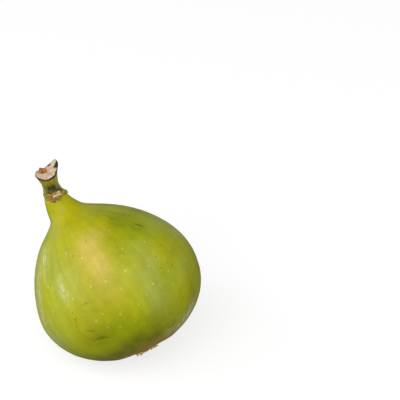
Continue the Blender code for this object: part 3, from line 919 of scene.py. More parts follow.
@dataclass(frozen=True)
class SkinFinish:
    """Waxy green skin with its tints, pores and scars, with painted shade, sheen and highlights among the
    tints.
    """

    green: Colour = srgb(154, 165, 6)
    yellow_green: Colour = srgb(170, 174, 10)  # what the green wanders to
    yellow: Colour = srgb(176, 164, 2)  # the sunny side and the neck
    peach: Colour = srgb(208, 184, 92)  # the blush
    flush: Colour = srgb(206, 158, 70)  # flecks in the blush
    # dark green skin, and painted shade at the top, the right edge and the bottom
    deep: Colour = srgb(120, 133, 0)
    # pale skin, and painted sheen and rim light
    pale: Colour = srgb(170, 177, 84)
    olive: Colour = srgb(112, 113, 0)  # round the eye's end, and painted shade on the underside and along the right edge
    dry: Colour = srgb(182, 136, 70)
    pore: Colour = srgb(208, 210, 136)
    wax: Colour = srgb(242, 238, 214)  # painted rim reflections and highlights, in lengthwise streaks
    brown: Colour = srgb(146, 106, 8)  # dots and the ring scar
    # painted shade in the folds
    fold_shade: Colour = srgb(58, 56, 2)
    # How closely they stand round the fruit, twice, and lengthwise, then their warp and detail
    clouds: tuple[Row, float, float] = ((2.8, 2.8, 0.5), 0.14, 3.0)
    painted_sheen_streaks: tuple[Row, float, float] = ((42.0, 42.0, 7.0), 0.35, 2.0)
    cloud_range: Row = (0.35, 0.6)
    thinnest: Row = (0.8, 0.55, 0.72, 0.7, 0.8)  # share of each tint that is left where the clouds are thin
    painted_sheen_range: Row = (0.46, 0.63, 0.12)  # the last is what is left between the streaks
    # Scale, detail and range of the noise, then what is left at its low and high end
    wander: Row = (0.085, 3.0, 0.38, 0.62)
    flecks: Row = (0.75, 2.0, 0.55, 0.75)
    crust: Row = (0.9, 4.0, 0.36, 0.6, 0.55)
    broken: Row = (1.4, 2.0, 0.32, 0.5, 0.3)
    worn: Row = (0.55, 2.0, 0.36, 0.62, 0.3, 0.95)
    bloom: Row = (0.8, 3.0, 0.35, 0.65)
    grain: Row = (1.5, 3.0)
    flush_share: float = 0.32
    streaks: Row = (11.0, 1.6, 0.045)  # count, run and amount of the fine ones
    dot_wobble: Row = (1.9, 2.0, 0.55)  # scale, detail and reach
    dot_squeeze: Row = (1.0, 1.0, 0.72)
    dot_edge: Row = (0.3, 1.5)  # where a dot starts and ends to fade, in its radii
    mottles: tuple[Row, ...] = ((0.4, 0.04), (1.3, 0.03), (3.4, 0.015))  # scale and amount
    roughness: Row = (0.31, 0.45)  # of the shiniest and the dullest places
    bump: Row = (1.0, 0.08 * MM)
    relief: Row = (0.9, 0.2, 0.25)  # shares of grain, streaks and pores in it
    thin: float = 0.4 * MM  # half width under which a fold is a thin one
    wobble: Row = (0.5, 1.4)  # how far thin and wide folds stray from their line
    wobble_noise: Row = (0.7, 2.0)
    soft_edge: float = 0.85  # how soft a fold's edge is
    ring_strength: float = 0.6
    ring_fade: float = 0.12  # how soft its ends are
    specular: float = 0.17
    subsurface: float = 0.12
    subsurface_radius: Row = (1.0, 0.8, 0.2)
    subsurface_scale: float = 1.2 * MM

    def material(self, creases: list[PlacedMark], ring: PlacedRing) -> bpy.types.Material:
        """Builds the skin's material.

        Args:
            creases: The folds and streaks, placed.
            ring: The ring scar, placed.

        Returns:
            The material.
        """
        coat = Coat("fig_skin")
        self.ground(coat)
        streaks = coat.fibres(*self.streaks)
        pores = self.dots(coat)
        self.folds(coat, creases)
        self.pressed_ring(coat, ring)
        heights = (coat.noise(coat.place, *self.grain), streaks, pores)
        parts = [coat.times(height, share) for height, share in zip(heights, self.relief)]
        return coat.finish(
            coat.patches(*self.bloom, *self.roughness),
            coat.plus(coat.plus(parts[0], parts[1]), parts[2]),
            self.bump,
            {
                "Specular IOR Level": self.specular,
                "Subsurface Weight": self.subsurface,
                "Subsurface Radius": self.subsurface_radius,
                "Subsurface Scale": self.subsurface_scale,
            },
        )

    def ground(self, coat: Coat) -> None:
        """Writes the ground colour with all the broad tints, painted shade and painted sheen among them.

        Args:
            coat: The skin's coat.
        """
        blush, yellow, dry = coat.values("tint_warm")
        deep, pale, olive = coat.values("tint_cool")
        wax = coat.values("tint_wax")[0]
        coat.colour = coat.blend(coat.patches(*self.wander), self.green, self.yellow_green)
        cloud = coat.lengthwise(*self.clouds)
        shares = (yellow, pale, deep, olive, blush)
        colours = (self.yellow, self.pale, self.deep, self.olive, self.peach)
        for share, colour, least in zip(shares, colours, self.thinnest):
            coat.tint(coat.times(share, coat.remap(cloud, *self.cloud_range, least)), colour)
        flecks = coat.times(coat.patches(*self.flecks), blush)
        coat.tint(coat.times(flecks, self.flush_share), self.flush)
        coat.tint(coat.times(dry, coat.patches(*self.crust)), self.dry)
        # the painted rim reflections and highlights, broken into lengthwise streaks
        streaked = coat.remap(coat.lengthwise(*self.painted_sheen_streaks), *self.painted_sheen_range)
        coat.tint(coat.times(wax, streaked), self.wax)
        for scale, amount in self.mottles:
            coat.mottle(scale, amount)

    def dots(self, coat: Coat) -> Socket:
        """Writes the pores and brown dots, each from the nearest one that a face keeps.

        Args:
            coat: The skin's coat.

        Returns:
            The pores' mask.
        """
        scale, detail, reach = self.dot_wobble
        wobble = coat.vector("SUBTRACT", coat.noise(coat.place, scale, detail, 1), (0.5, 0.5, 0.5))
        offset = coat.vector("SUBTRACT", coat.place, coat.attribute("dot_place"))
        offset = coat.vector("ADD", offset, coat.scaled(wobble, reach))
        radius, pale, brown = coat.values("dot_kind")
        length = coat.vector("LENGTH", coat.vector("MULTIPLY", offset, self.dot_squeeze))
        dot = coat.remap(coat.maths("DIVIDE", length, radius), *self.dot_edge, 1.0, 0.0)
        pores = coat.times(dot, pale)
        coat.tint(pores, self.pore)
        coat.tint(coat.times(dot, brown), self.brown)
        return pores

    def folds(self, coat: Coat, creases: list[PlacedMark]) -> None:
        """Writes the painted shade in the short folds and the painted highlight streaks.

        Args:
            coat: The skin's coat.
            creases: The folds and streaks, placed.
        """
        wobble = coat.noise(coat.place, *self.wobble_noise, 1)
        bent = [coat.vector("ADD", coat.place, coat.scaled(wobble, reach)) for reach in self.wobble]
        broken = coat.patches(*self.broken)
        for fold in creases:
            kind = 0 if fold.mark.width < self.thin else 1
            mask = coat.group(
                "spot",
                Place=bent[kind],
                Centre=tuple(fold.middle / MM + self.wobble[kind] * Vector((0.5, 0.5, 0.5))),
                Along=tuple(fold.along),
                Length=fold.half / MM,
                Width=fold.mark.width / MM,
                Edge=self.soft_edge,
            )["Mask"]
            if fold.mark.pale:
                mask = coat.times(mask, broken)
            # streaks take the painted sheen, folds the painted shade
            coat.tint(coat.times(mask, fold.mark.strength), self.wax if fold.mark.pale else self.fold_shade)

    def pressed_ring(self, coat: Coat, ring: PlacedRing) -> None:
        """Writes the fine line of the ring scar.

        Args:
            coat: The skin's coat.
            ring: The ring scar, placed.
        """
        mark = ring.mark
        offset = coat.vector("SUBTRACT", coat.place, tuple(ring.middle / MM))
        run = coat.vector("DOT_PRODUCT", offset, tuple(ring.axis))
        flat = coat.vector("SUBTRACT", offset, coat.scaled(tuple(ring.axis), run))
        gap = coat.maths("ABSOLUTE", coat.minus(coat.vector("LENGTH", flat), mark.radius / MM))
        line = coat.remap(gap, 0.0, 2.0 * mark.width / MM, 1.0, 0.0)
        side = coat.vector("DOT_PRODUCT", coat.vector("NORMALIZE", flat), tuple(ring.toward))
        line = coat.times(line, coat.remap(side, mark.reach - self.ring_fade, mark.reach + self.ring_fade))
        worn = coat.times(line, coat.patches(*self.worn))
        coat.tint(coat.times(worn, self.ring_strength), self.brown)


@dataclass
class Fruit:
    """The fruit with its neck, from the same sizes as its solid."""

    axes: FigAxes
    view: Viewpoint
    finish: SkinFinish = SkinFinish()
    marks: SkinMarks = SkinMarks()
    body_radius: float = 25.0 * MM  # at the equator
    equator: float = 21.4 * MM  # height of the widest part
    eye_end_power: float = 2.1  # squareness of the half with the eye
    shoulder_height: float = 27.0 * MM  # height of the other half
    shoulder_power: float = 1.68  # its squareness
    body_depth: float = 0.985  # front to back, as a share of the width
    neck_radius: float = 4.3 * MM  # at neck_height
    neck_height: float = 50.5 * MM
    neck_taper: float = 0.27  # how fast the neck widens downwards
    neck_blend: float = 3.0 * MM  # rounding between shoulder and neck
    wide_side_taper: float = 0.12  # further taper on the +X side
    wide_side_top: float = 53.5 * MM  # height where that starts
    wide_side_blend: float = 0.6 * MM  # further rounding there
    # Low ribs: lobes, phase and share of the radius
    swells: tuple[Row, ...] = (
        (2, 0.6, 0.008), (3, 1.9, 0.006), (5, 0.3, 0.004), (9, 2.2, 0.0028), (14, 1.1, 0.0022),
    )
    swell_twist: float = 0.35  # radians that the ribs wander on their way up
    join: float = 48.0 * MM  # height of the step between neck and shoulder
    join_reach: float = 6.0 * MM  # how far it counts as such
    join_spread: Row = (0.6 * MM, 1.9 * MM)  # its evening out, at the sides and in front
    top: float = 54.25 * MM  # height of the neck's end, just under the collar
    end_turn: float = 0.6 * MM  # height over which the neck's end turns in
    end_turn_share: float = 0.1  # share of the radius that it turns in
    eye_place: Row = (-4.2 * MM, -1.4 * MM)
    dent_depth: float = 1.8 * MM
    dent_radius: float = 9.0 * MM
    sides: int = 360
    rings: int = 236
    # Height, scale and shift of the soft lumps and of the fine unevenness
    lumps: tuple[Row, ...] = ((0.07 * MM, 0.24 / MM, 3.0), (0.03 * MM, 0.7 / MM, 9.0))
    vein: float = 0.05 * MM  # height of the lengthwise veins
    vein_count: Row = (5.5, 5.5, 0.5)  # how closely they stand round the fruit, twice, and lengthwise
    vein_fade: Row = (36.0 * MM, 47.0 * MM)  # heights between which they fade out
    dry_radius: float = 9.2 * MM  # how far round the eye the skin is dry
    # Tint, strength, and where it fades round the eye, in shares of that
    eye_tints: tuple[tuple[Tint, float, float, float], ...] = (
        (Tint.DRY, 0.9, 0.72, 1.06), (Tint.OLIVE, 0.6, 1.0, 1.7),
    )

    def radius(self, angle: np.ndarray, height: float) -> np.ndarray:
        """Gives the radius of body and neck on each side.

        Args:
            angle: Angles round the fruit.
            height: Height above the eye.

        Returns:
            The radius at each angle.
        """
        if height < self.equator:
            rise = 1.0 - (1.0 - height / self.equator) ** self.eye_end_power
            return np.full_like(angle, self.body_radius * rise ** (1.0 / self.eye_end_power))
        share = min(1.0, (height - self.equator) / self.shoulder_height)
        shoulder = self.body_radius * (1.0 - share**self.shoulder_power) ** (1.0 / self.shoulder_power)
        wide = (0.5 + 0.5 * np.cos(angle)) ** 2
        neck = self.neck_radius + self.neck_taper * (self.neck_height - height)
        neck = neck + self.wide_side_taper * wide * (self.wide_side_top - height)
        neck = np.minimum(neck, self.body_radius / 2.0)
        return smooth_max(np.full_like(angle, shoulder), neck, self.neck_blend + self.wide_side_blend * wide)

    def even_radius(self, angle: np.ndarray, height: float) -> np.ndarray:
        """Gives the radius on each side with the step between neck and shoulder evened out.

        Args:
            angle: Angles round the fruit.
            height: Height above the eye.

        Returns:
            The radius at each angle.
        """
        away = np.array(abs(height - self.join))
        near = 1.0 - float(smooth_step(0.3 * self.join_reach, self.join_reach, away))
        if near == 0.0:
            return self.radius(angle, height)
        least, most = self.join_spread
        spread = near * (least + (most - least) * np.clip(-np.sin(angle), 0.0, 1.0) ** 1.3)
        steps = np.linspace(-2.0, 2.0, 25) * most
        radii = [self.radius(angle, height + step) for step in steps]
        weights = np.exp(-0.5 * (steps[:, None] / np.maximum(spread, 0.05 * most)) ** 2)
        return (np.array(radii) * weights).sum(0) / weights.sum(0)

    def swell(self, angle: np.ndarray, height: float) -> np.ndarray:
        """Gives the factor by which the low ribs widen each side.

        Args:
            angle: Angles round the fruit.
            height: Height above the eye.

        Returns:
            The factor at each angle.
        """
        fade = 1.0
        if height < self.equator:
            fade = math.sin(math.pi * min(1.0, height / (2.0 * self.equator)))
        turned = angle + self.swell_twist * math.sin(height / self.equator)
        return 1.0 + fade * sum(part * np.cos(lobes * turned + phase) for lobes, phase, part in self.swells)

    def dent(self, x: np.ndarray, y: np.ndarray) -> np.ndarray:
        """Gives how far the eye's dent lifts the underside at each place."""
        distance = np.hypot(x - self.eye_place[0], y - self.eye_place[1])
        return self.dent_depth * (1.0 - smooth_step(0.0, self.dent_radius, distance))

    def underside(self, x: float, y: float) -> float:
        """Gives the height of the underside, with the dent, at a place near the eye.

        Args:
            x: Place across.
            y: Place in depth.

        Returns:
            The height.
        """
        middle = self.axes.centre(0.0)
        share = math.hypot(x - middle.x, (y - middle.y) / self.body_depth) / self.body_radius
        flat = (1.0 - share**self.eye_end_power) ** (1.0 / self.eye_end_power)
        return self.equator * (1.0 - flat) + float(self.dent(np.array(x), np.array(y)))

    def ring_heights(self) -> np.ndarray:
        """Gives the heights of the rings, at even steps along the fruit's outline."""
        turn = np.linspace(0.0, 0.5 * math.pi, 400)[1:]
        lower = self.equator * (1.0 - np.cos(turn) ** (2.0 / self.eye_end_power))
        heights = np.concatenate((lower, np.linspace(self.equator, self.top, 400)[1:]))
        plain_side = np.array([math.pi])
        radii = np.array([self.radius(plain_side, height)[0] for height in heights])
        steps = np.hypot(np.diff(heights), np.diff(radii))
        run = np.concatenate(([0.0], np.cumsum(steps)))
        return np.interp(np.linspace(0.0, run[-1], self.rings), run, heights)

    def plain_shape(self) -> Shape:
        """Forms the fruit in its own axes, still smooth."""
        angle = np.linspace(0.0, FULL_TURN, self.sides, endpoint=False)
        cos, sin = np.cos(angle), np.sin(angle)
        rings, around = [], []
        for height in self.ring_heights():
            middle, _, across, away = self.axes.cross(height)
            depth = 1.0 + (self.body_depth - 1.0) * (1.0 - self.axes.level(height))
            reach = self.even_radius(angle, height) * self.swell(angle, height)
            turned = max(0.0, 1.0 - (self.top - height) / self.end_turn)
            reach = reach * (1.0 - self.end_turn_share * turned**2)
            ring = np.array(middle) + reach[:, None] * (
                cos[:, None] * np.array(across) + depth * sin[:, None] * np.array(away)
            )
            if height < self.equator:
                ring[:, 2] += self.dent(ring[:, 0], ring[:, 1])
            rings.append(ring)
            around.append(np.column_stack((cos, sin, np.full_like(angle, height / self.body_radius))))
        end = np.array(self.axes.centre(self.top))
        for share in (0.9, 0.5):
            rings.append(end + share * (rings[self.rings - 1] - end))
            around.append(around[self.rings - 1])
        low = self.axes.centre(0.0)
        bottom = np.array((low.x, low.y, self.underside(low.x, low.y)))
        shape = Shape.from_rings(rings, bottom, end)
        shape.values["around"] = np.concatenate([*around, np.zeros((2, 3))])
        return shape

    def lay(self, shape: Shape) -> Matrix:
        """Works out the move that lays the fruit over its solid.

        Args:
            shape: The smooth fruit in its own axes.

        Returns:
            The move from those axes to the floor.
        """
        tip = self.axes.tip()
        turned = shape.moved(tip).points
        low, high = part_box("fruit")
        middle = (turned.min(0) + turned.max(0)) / 2.0
        solid = (np.array(low) + np.array(high)) / 2.0
        drop = -(turned[:, 2].min() + self.axes.rest_depth)
        return Matrix.Translation((solid[0] - middle[0], solid[1] - middle[1], drop)) @ tip

    def place_creases(self, skin: Skin) -> list[PlacedMark]:
        """Finds where the folds and streaks lie.

        Args:
            skin: The fruit as the camera sees it.

        Returns:
            Each of them, placed.
        """
        placed = []
        for mark in self.marks.creases:
            start, end = skin.place(mark.start)[0], skin.place(mark.end)[0]
            run = end - start
            placed.append(PlacedMark(mark, (start + end) / 2.0, run.normalized(), run.length / 2.0))
        return placed

    def place_ring(self, skin: Skin) -> PlacedRing:
        """Finds where the ring scar lies.

        Args:
            skin: The fruit as the camera sees it.

        Returns:
            The ring scar, placed.
        """
        mark = self.marks.ring
        right, up, back = self.view.directions()
        heading = math.radians(mark.heading)
        toward = math.cos(heading) * right + math.sin(heading) * up
        return PlacedRing(mark, skin.place(mark.pixel)[0], skin.direction(back), skin.direction(toward))

    def tints(self, shape: Shape, skin: Skin) -> None:
        """Keeps on each point how much it has of every tint.

        Args:
            shape: The fruit in its own axes.
            skin: The same, as the camera sees it.
        """
        for tint in Tint:
            shape.keep(tint.value[0], (0.0, 0.0, 0.0))
        for tint, rows in self.marks.patches:
            for x, y, *size, strength in rows:
                middle, normal = skin.place((x, y))
                lengthwise, round_it = (value * MM for value in size)
                along = (UP - UP.dot(normal) * normal).normalized()
                offset = shape.points - np.array(middle)
                run = offset @ np.array(along) / lengthwise
                aside = offset @ np.array(normal.cross(along)) / round_it
                deep = offset @ np.array(normal) / max(lengthwise, round_it)
                tint.add(shape.values, strength * np.exp(-(run**2 + aside**2 + deep**2)))
        eye = np.array((*self.eye_place, self.underside(*self.eye_place)))
        distance = np.linalg.norm(shape.points - eye, axis=1) / self.dry_radius
        for tint, strength, start, end in self.eye_tints:
            tint.add(shape.values, strength * (1.0 - smooth_step(start, end, distance)))

    def relief(self, shape: Shape, creases: list[PlacedMark], ring: PlacedRing) -> np.ndarray:
        """Works out how far each point stands out from the smooth fruit.

        Args:
            shape: The smooth fruit.
            creases: The folds and streaks, placed.
            ring: The ring scar, placed.

        Returns:
            One height a point.
        """
        points = shape.points
        veins = shape.values["around"] * np.array(self.vein_count)
        heights = sum(height * noise_at(points, scale, shift) for height, scale, shift in self.lumps)
        heights += self.vein * (1.0 - smooth_step(*self.vein_fade, points[:, 2])) * noise_at(veins, 1.0, 5.0)
        for fold in creases:
            offset = points - np.array(fold.middle)
            run = offset @ np.array(fold.along)
            aside = np.linalg.norm(offset - run[:, None] * np.array(fold.along), axis=1)
            reach = (run / fold.half) ** 2 + (aside / (2.0 * fold.mark.width)) ** 2
            heights -= fold.mark.depth * np.exp(-reach)
        offset = points - np.array(ring.middle)
        flat = offset - (offset @ np.array(ring.axis))[:, None] * np.array(ring.axis)
        distance = np.linalg.norm(flat, axis=1)
        side = (flat @ np.array(ring.toward)) / np.maximum(distance, 0.01 * MM)
        near = np.linalg.norm(offset, axis=1) < 3.0 * ring.mark.radius
        groove = hump(distance, ring.mark.radius, 2.0 * ring.mark.width)
        heights -= ring.mark.depth * groove * smooth_step(-0.2, 0.1, side) * near
        return heights

    def scatter_dots(self, shape: Shape, skin: Skin) -> list[tuple[Vector, float, float, float]]:
        """Places the pores and brown dots: the ones that the photograph shows, and others out of its sight.

        Args:
            shape: The fruit in its own axes.
            skin: The same, as the camera sees it.

        Returns:
            Place, radius, share of pale and share of brown for each.
        """
        marks = self.marks
        pale, brown = marks.pale[0], marks.brown[0]
        dots = [(skin.place((x, y))[0], size * MM, pale * size, 0.0) for x, y, size in marks.pale_dots]
        dots += [(skin.place((x, y))[0], size * MM, 0.0, brown) for x, y, size in marks.brown_dots]
        draw = random.Random(marks.seed)
        start = Vector(self.view.aim) + self.view.distance * self.view.directions()[2]
        for _ in range(marks.count):
            index = draw.randrange(self.rings * self.sides)
            size, kind = draw.uniform(*marks.sizes), draw.random()
            place = Vector(shape.points[index])
            ahead = skin.lay @ place - start
            hit, _, _, _ = skin.tree.ray_cast(start, ahead.normalized())
            seen = hit is not None and (hit - start).length > ahead.length - marks.in_view
            ring_share = (place - self.axes.centre(place.z)).length / self.body_radius
            crowded = any((place - other[0]).length < marks.spacing for other in dots)
            if seen or crowded or draw.random() > ring_share:
                continue
            brown = kind < marks.brown_share
            shares = (0.0, marks.brown[1]) if brown else (marks.pale[1] * size, 0.0)
            dots.append((place, size * MM, *shares))
        return dots

    def keep_dots(self, mesh: bpy.types.Mesh, dots: list[tuple[Vector, float, float, float]]) -> None:
        """Keeps on each face of the mesh the dot that is nearest to it.

        Args:
            mesh: The finished fruit.
            dots: The dots, from scatter_dots.
        """
        tree = KDTree(len(dots))
        for index, dot in enumerate(dots):
            tree.insert(dot[0], index)
        tree.balance()
        axes = np.empty(len(mesh.vertices) * 3, np.float32)
        mesh.attributes["axes"].data.foreach_get("vector", axes)
        axes = axes.reshape(-1, 3) * MM
        places, kinds = [], []
        for face in mesh.polygons:
            middle = axes[list(face.vertices)].mean(0)
            place, radius, pale, brown = dots[tree.find(Vector(middle))[1]]
            places.append(place / MM)
            kinds.append((radius / MM, pale, brown))
        for name, rows in (("dot_place", places), ("dot_kind", kinds)):
            layer = mesh.attributes.new(name, "FLOAT_VECTOR", "FACE")
            layer.data.foreach_set("vector", np.array(rows, np.float32).ravel())

    def build(self) -> Matrix:
        """Builds the fruit.

        Returns:
            The move from the fig's own axes to the floor, for the other pieces.
        """
        shape = self.plain_shape()
        lay = self.lay(shape)
        skin = Skin(shape, lay, self.view)
        creases = self.place_creases(skin)
        ring = self.place_ring(skin)
        self.tints(shape, skin)
        dots = self.scatter_dots(shape, skin)
        shape.relieve(self.relief(shape, creases, ring))
        laid = shape.moved(lay)
        laid.points[:, 2] = np.maximum(laid.points[:, 2], 0.0)
        piece = add_piece("fruit", laid, self.finish.material(creases, ring))
        self.keep_dots(piece.data, dots)
        return lay


@dataclass(frozen=True)
class Blade:
    """A thin dry scale or bract."""

    length: float
    width: float
    thickness: float
    lean: float  # outwards from its root, in radians
    curl: float  # how much further it leans by its tip
    cup: float  # how far its margins bend inwards, as a share of the half width
    rag: float  # how ragged its tip is, as a share of the length
    wave: float  # how far its margins wave
    crumple: float  # how far its surface is crumpled
    hue: Row = (0.0, 0.0)  # how fresh and how brown it is
    rows: int = 15
    columns: int = 11
    profile: tuple[Row, ...] = ((0.0, 0.4, 0.75, 1.0), (0.85, 1.0, 0.78, 0.36))  # places, widths

    def shape(self, root: Vector, out: Vector, up: Vector, draw: random.Random) -> Shape:
        """Forms the blade where it grows.

        Args:
            root: Where it starts.
            out: The way outwards.
            up: The way that it would grow without a lean.
            draw: Draws for its own unevenness.

        Returns:
            The blade as a closed sheet.
        """
        side = np.array(up.cross(out).normalized())
        out, up = np.array(out), np.array(up)
        phase, tone = draw.uniform(0.0, FULL_TURN), draw.random()
        across = np.linspace(-1.0, 1.0, self.columns)
        tips = np.array([1.0 - self.rag * draw.random() for _ in across])
        front, back, kept = [], [], []
        place = np.array(root)
        for row in range(self.rows):
            share = row / (self.rows - 1)
            angle = self.lean + self.curl * share
            ahead = math.cos(angle) * up + math.sin(angle) * out
            face = math.cos(angle) * out - math.sin(angle) * up
            if row:
                place = place + self.length / (self.rows - 1) * ahead
            half = 0.5 * self.width * np.interp(share, *self.profile)
            bend = -self.cup * half * across**2 + self.wave * share * across * np.sin(5.0 * share + phase)
            short = (share**3 * (tips - 1.0) * self.length)[:, None] * ahead
            middle = place + (half * across)[:, None] * side + bend[:, None] * face + short
            folds = [noise.noise_vector(Vector(point / MM) + Vector((phase, 0.0, 0.0))) for point in middle]
            middle = middle + self.crumple * min(1.0, 2.0 * share) * np.array(folds)
            thin = self.thickness * (1.0 - 0.65 * np.maximum(np.abs(across) ** 3, share**3))
            front.append(middle + 0.5 * thin[:, None] * face)
            back.append(middle - 0.5 * thin[:, None] * face)
            edge = np.maximum(np.abs(across), share)
            kept.append(np.column_stack((edge, np.full_like(edge, share), np.full_like(edge, tone))))
        made = Shape.from_sheet(np.array(front), np.array(back))
        made.values["blade"] = np.tile(np.concatenate(kept), (2, 1))
        made.keep("hue", (*self.hue, 0.0))
        return made


@dataclass(frozen=True)
class DryFinish:
    """Dried scale or bract: a papery middle and a darker, ragged margin."""

    name: str
    roughness: float
    middle: Colour
    other: Colour  # what some of the blades wander to
    # darker towards the root; on the bract collar it is painted shade in the gaps between the bracts
    root: Colour
    edge: Colour
    fresh: Colour  # what is still green
    brown: Colour  # what is browned through
    rough_grain: float = 0.95  # roughness of the roughest grains
    margin: Row = (2.2, 0.9, 0.9)  # its scale, where it starts on the way out, and how ragged it is
    tones: Row = (0.3, 0.8)  # draws from which a blade is of the one colour and the other
    root_reach: float = 0.45  # how far up the root's colour goes
    root_share: float = 0.6  # how strong it is
    grain: Row = (5.0, 3.0)  # scale and detail
    grain_range: Row = (0.3, 0.7)
    mottles: tuple[Row, ...] = ((1.1, 0.16), (4.0, 0.1))  # scale and amount
    bump: Row = (0.8, 0.08 * MM)

    def material(self) -> bpy.types.Material:
        """Builds the material."""
        coat = Coat(self.name)
        edge, share, tone = coat.values("blade")
        fresh, brown, _ = coat.values("hue")
        coat.colour = coat.blend(coat.remap(tone, *self.tones), self.middle, self.other)
        coat.tint(coat.times(coat.remap(share, 0.0, self.root_reach, 1.0, 0.0), self.root_share), self.root)
        coat.tint(coat.margin(edge, *self.margin), self.edge)
        coat.tint(brown, self.brown)
        coat.tint(fresh, self.fresh)
        for scale, amount in self.mottles:
            coat.mottle(scale, amount)
        grain = coat.noise(coat.place, *self.grain)
        roughness = coat.remap(grain, *self.grain_range, self.roughness, self.rough_grain)
        return coat.finish(roughness, grain, self.bump)


@dataclass
class EyeScales:
    """The plug of dry scales that closes the eye."""

    fruit: Fruit
    finish: DryFinish = DryFinish(
        "eye_scale",
        0.72,
        middle=srgb(232, 212, 150),
        other=srgb(208, 172, 104),
        root=srgb(178, 136, 80),
        edge=srgb(240, 228, 190),
        fresh=srgb(120, 120, 30),
        brown=srgb(120, 80, 30),
    )
    gap: float = 0.3 * MM  # clear space between plug and skin
    radius: float = 3.1 * MM
    thickness: float = 1.1 * MM
    edge: float = 0.4  # thickness at its edge, as a share
    lump: float = 0.06 * MM
    sides: int = 96
    rings: int = 14
    # Count, distance out, length and width in millimetres, and lean in degrees, for each row of scales
    rows: tuple[Row, ...] = (
        (12, 2.75, 1.3, 1.4, 48.0),
        (11, 2.4, 1.2, 1.2, 32.0),
        (9, 1.9, 1.2, 1.3, 24.0),
        (6, 1.2, 1.1, 1.1, 4.0),
        (4, 0.6, 0.9, 0.8, -6.0),
    )
    sunk: float = 0.3 * MM  # how far under the plug's back a scale starts
    rag: float = 0.45
    crumple: float = 0.12 * MM
    # Between what each scale is drawn: shares of length and width, thickness and wave in millimetres,
    # lean and curl in degrees, cup, and the turn round the eye in radians
    lengths: Row = (0.7, 1.2)
    widths: Row = (0.8, 1.15)
    thicknesses: Row = (0.16, 0.26)
    waves: Row = (0.05, 0.2)
    leans: Row = (-10.0, 10.0)
    curls: Row = (-40.0, 26.0)
    cups: Row = (0.2, 0.6)
    turns: Row = (-0.1, 0.1)
    seed: int = 23

    def below_skin(self, angle: float, distance: float, drop: float) -> Vector:
        """Gives a place under the dent's surface.

        Args:
            angle: Angle round the eye's middle.
            distance: Distance from it.
            drop: How far under the plug's back.

        Returns:
            The place.
        """
        x = self.fruit.eye_place[0] + distance * math.cos(angle)
        y = self.fruit.eye_place[1] + distance * math.sin(angle)
        return Vector((x, y, self.fruit.underside(x, y) - self.gap - drop))

    def plug(self) -> Shape:
        """Forms the disc that the scales grow from."""
        angles = [FULL_TURN * i / self.sides for i in range(self.sides)]
        shares = [i / self.rings for i in range(1, self.rings + 1)]
        drops = [self.thickness * (1.0 - (1.0 - self.edge) * share**3) for share in shares]
        rings = []
        for share, drop in [*zip(shares, drops), *((share, 0.0) for share in reversed(shares))]:
            lumps = [self.lump * math.sin(7.0 * angle + 9.0 * share) for angle in angles]
            ring = [self.below_skin(a, self.radius * share, drop + b) for a, b in zip(angles, lumps)]
            rings.append(np.array(ring))
        low, high = (np.array(self.below_skin(0.0, 0.0, drop)) for drop in (self.thickness, 0.0))
        made = Shape.from_rings(rings, low, high)
        made.keep("blade", (0.3, 0.1, 0.6))
        made.keep("hue", (0.0, 0.6, 0.0))
        return made

    def scales(self) -> list[Shape]:
        """Forms the scales, row by row from the outermost."""
        draw = random.Random(self.seed)
        made = []
        for row, (count, distance, length, width, lean) in enumerate(self.rows):
            for i in range(count):
                angle = FULL_TURN * (i + 0.5 * (row % 2)) / count + draw.uniform(*self.turns)
                blade = Blade(
                    length=length * MM * draw.uniform(*self.lengths),
                    width=width * MM * draw.uniform(*self.widths),
                    thickness=draw.uniform(*self.thicknesses) * MM,
                    lean=math.radians(lean + draw.uniform(*self.leans)),
                    curl=math.radians(draw.uniform(*self.curls)),
                    cup=draw.uniform(*self.cups),
                    rag=self.rag,
                    wave=draw.uniform(*self.waves) * MM,
                    crumple=self.crumple,
                )
                root = self.below_skin(angle, distance * MM, self.sunk)
                out = Vector((math.cos(angle), math.sin(angle), 0.0))
                made.append(blade.shape(root, out, -UP, draw))
        return made

    def build(self, lay: Matrix) -> None:
        """Builds plug and scales, laid by the given move."""
        shape = Shape.together([self.plug(), *self.scales()])
        add_piece("eye_scales", shape.moved(lay), self.finish.material())


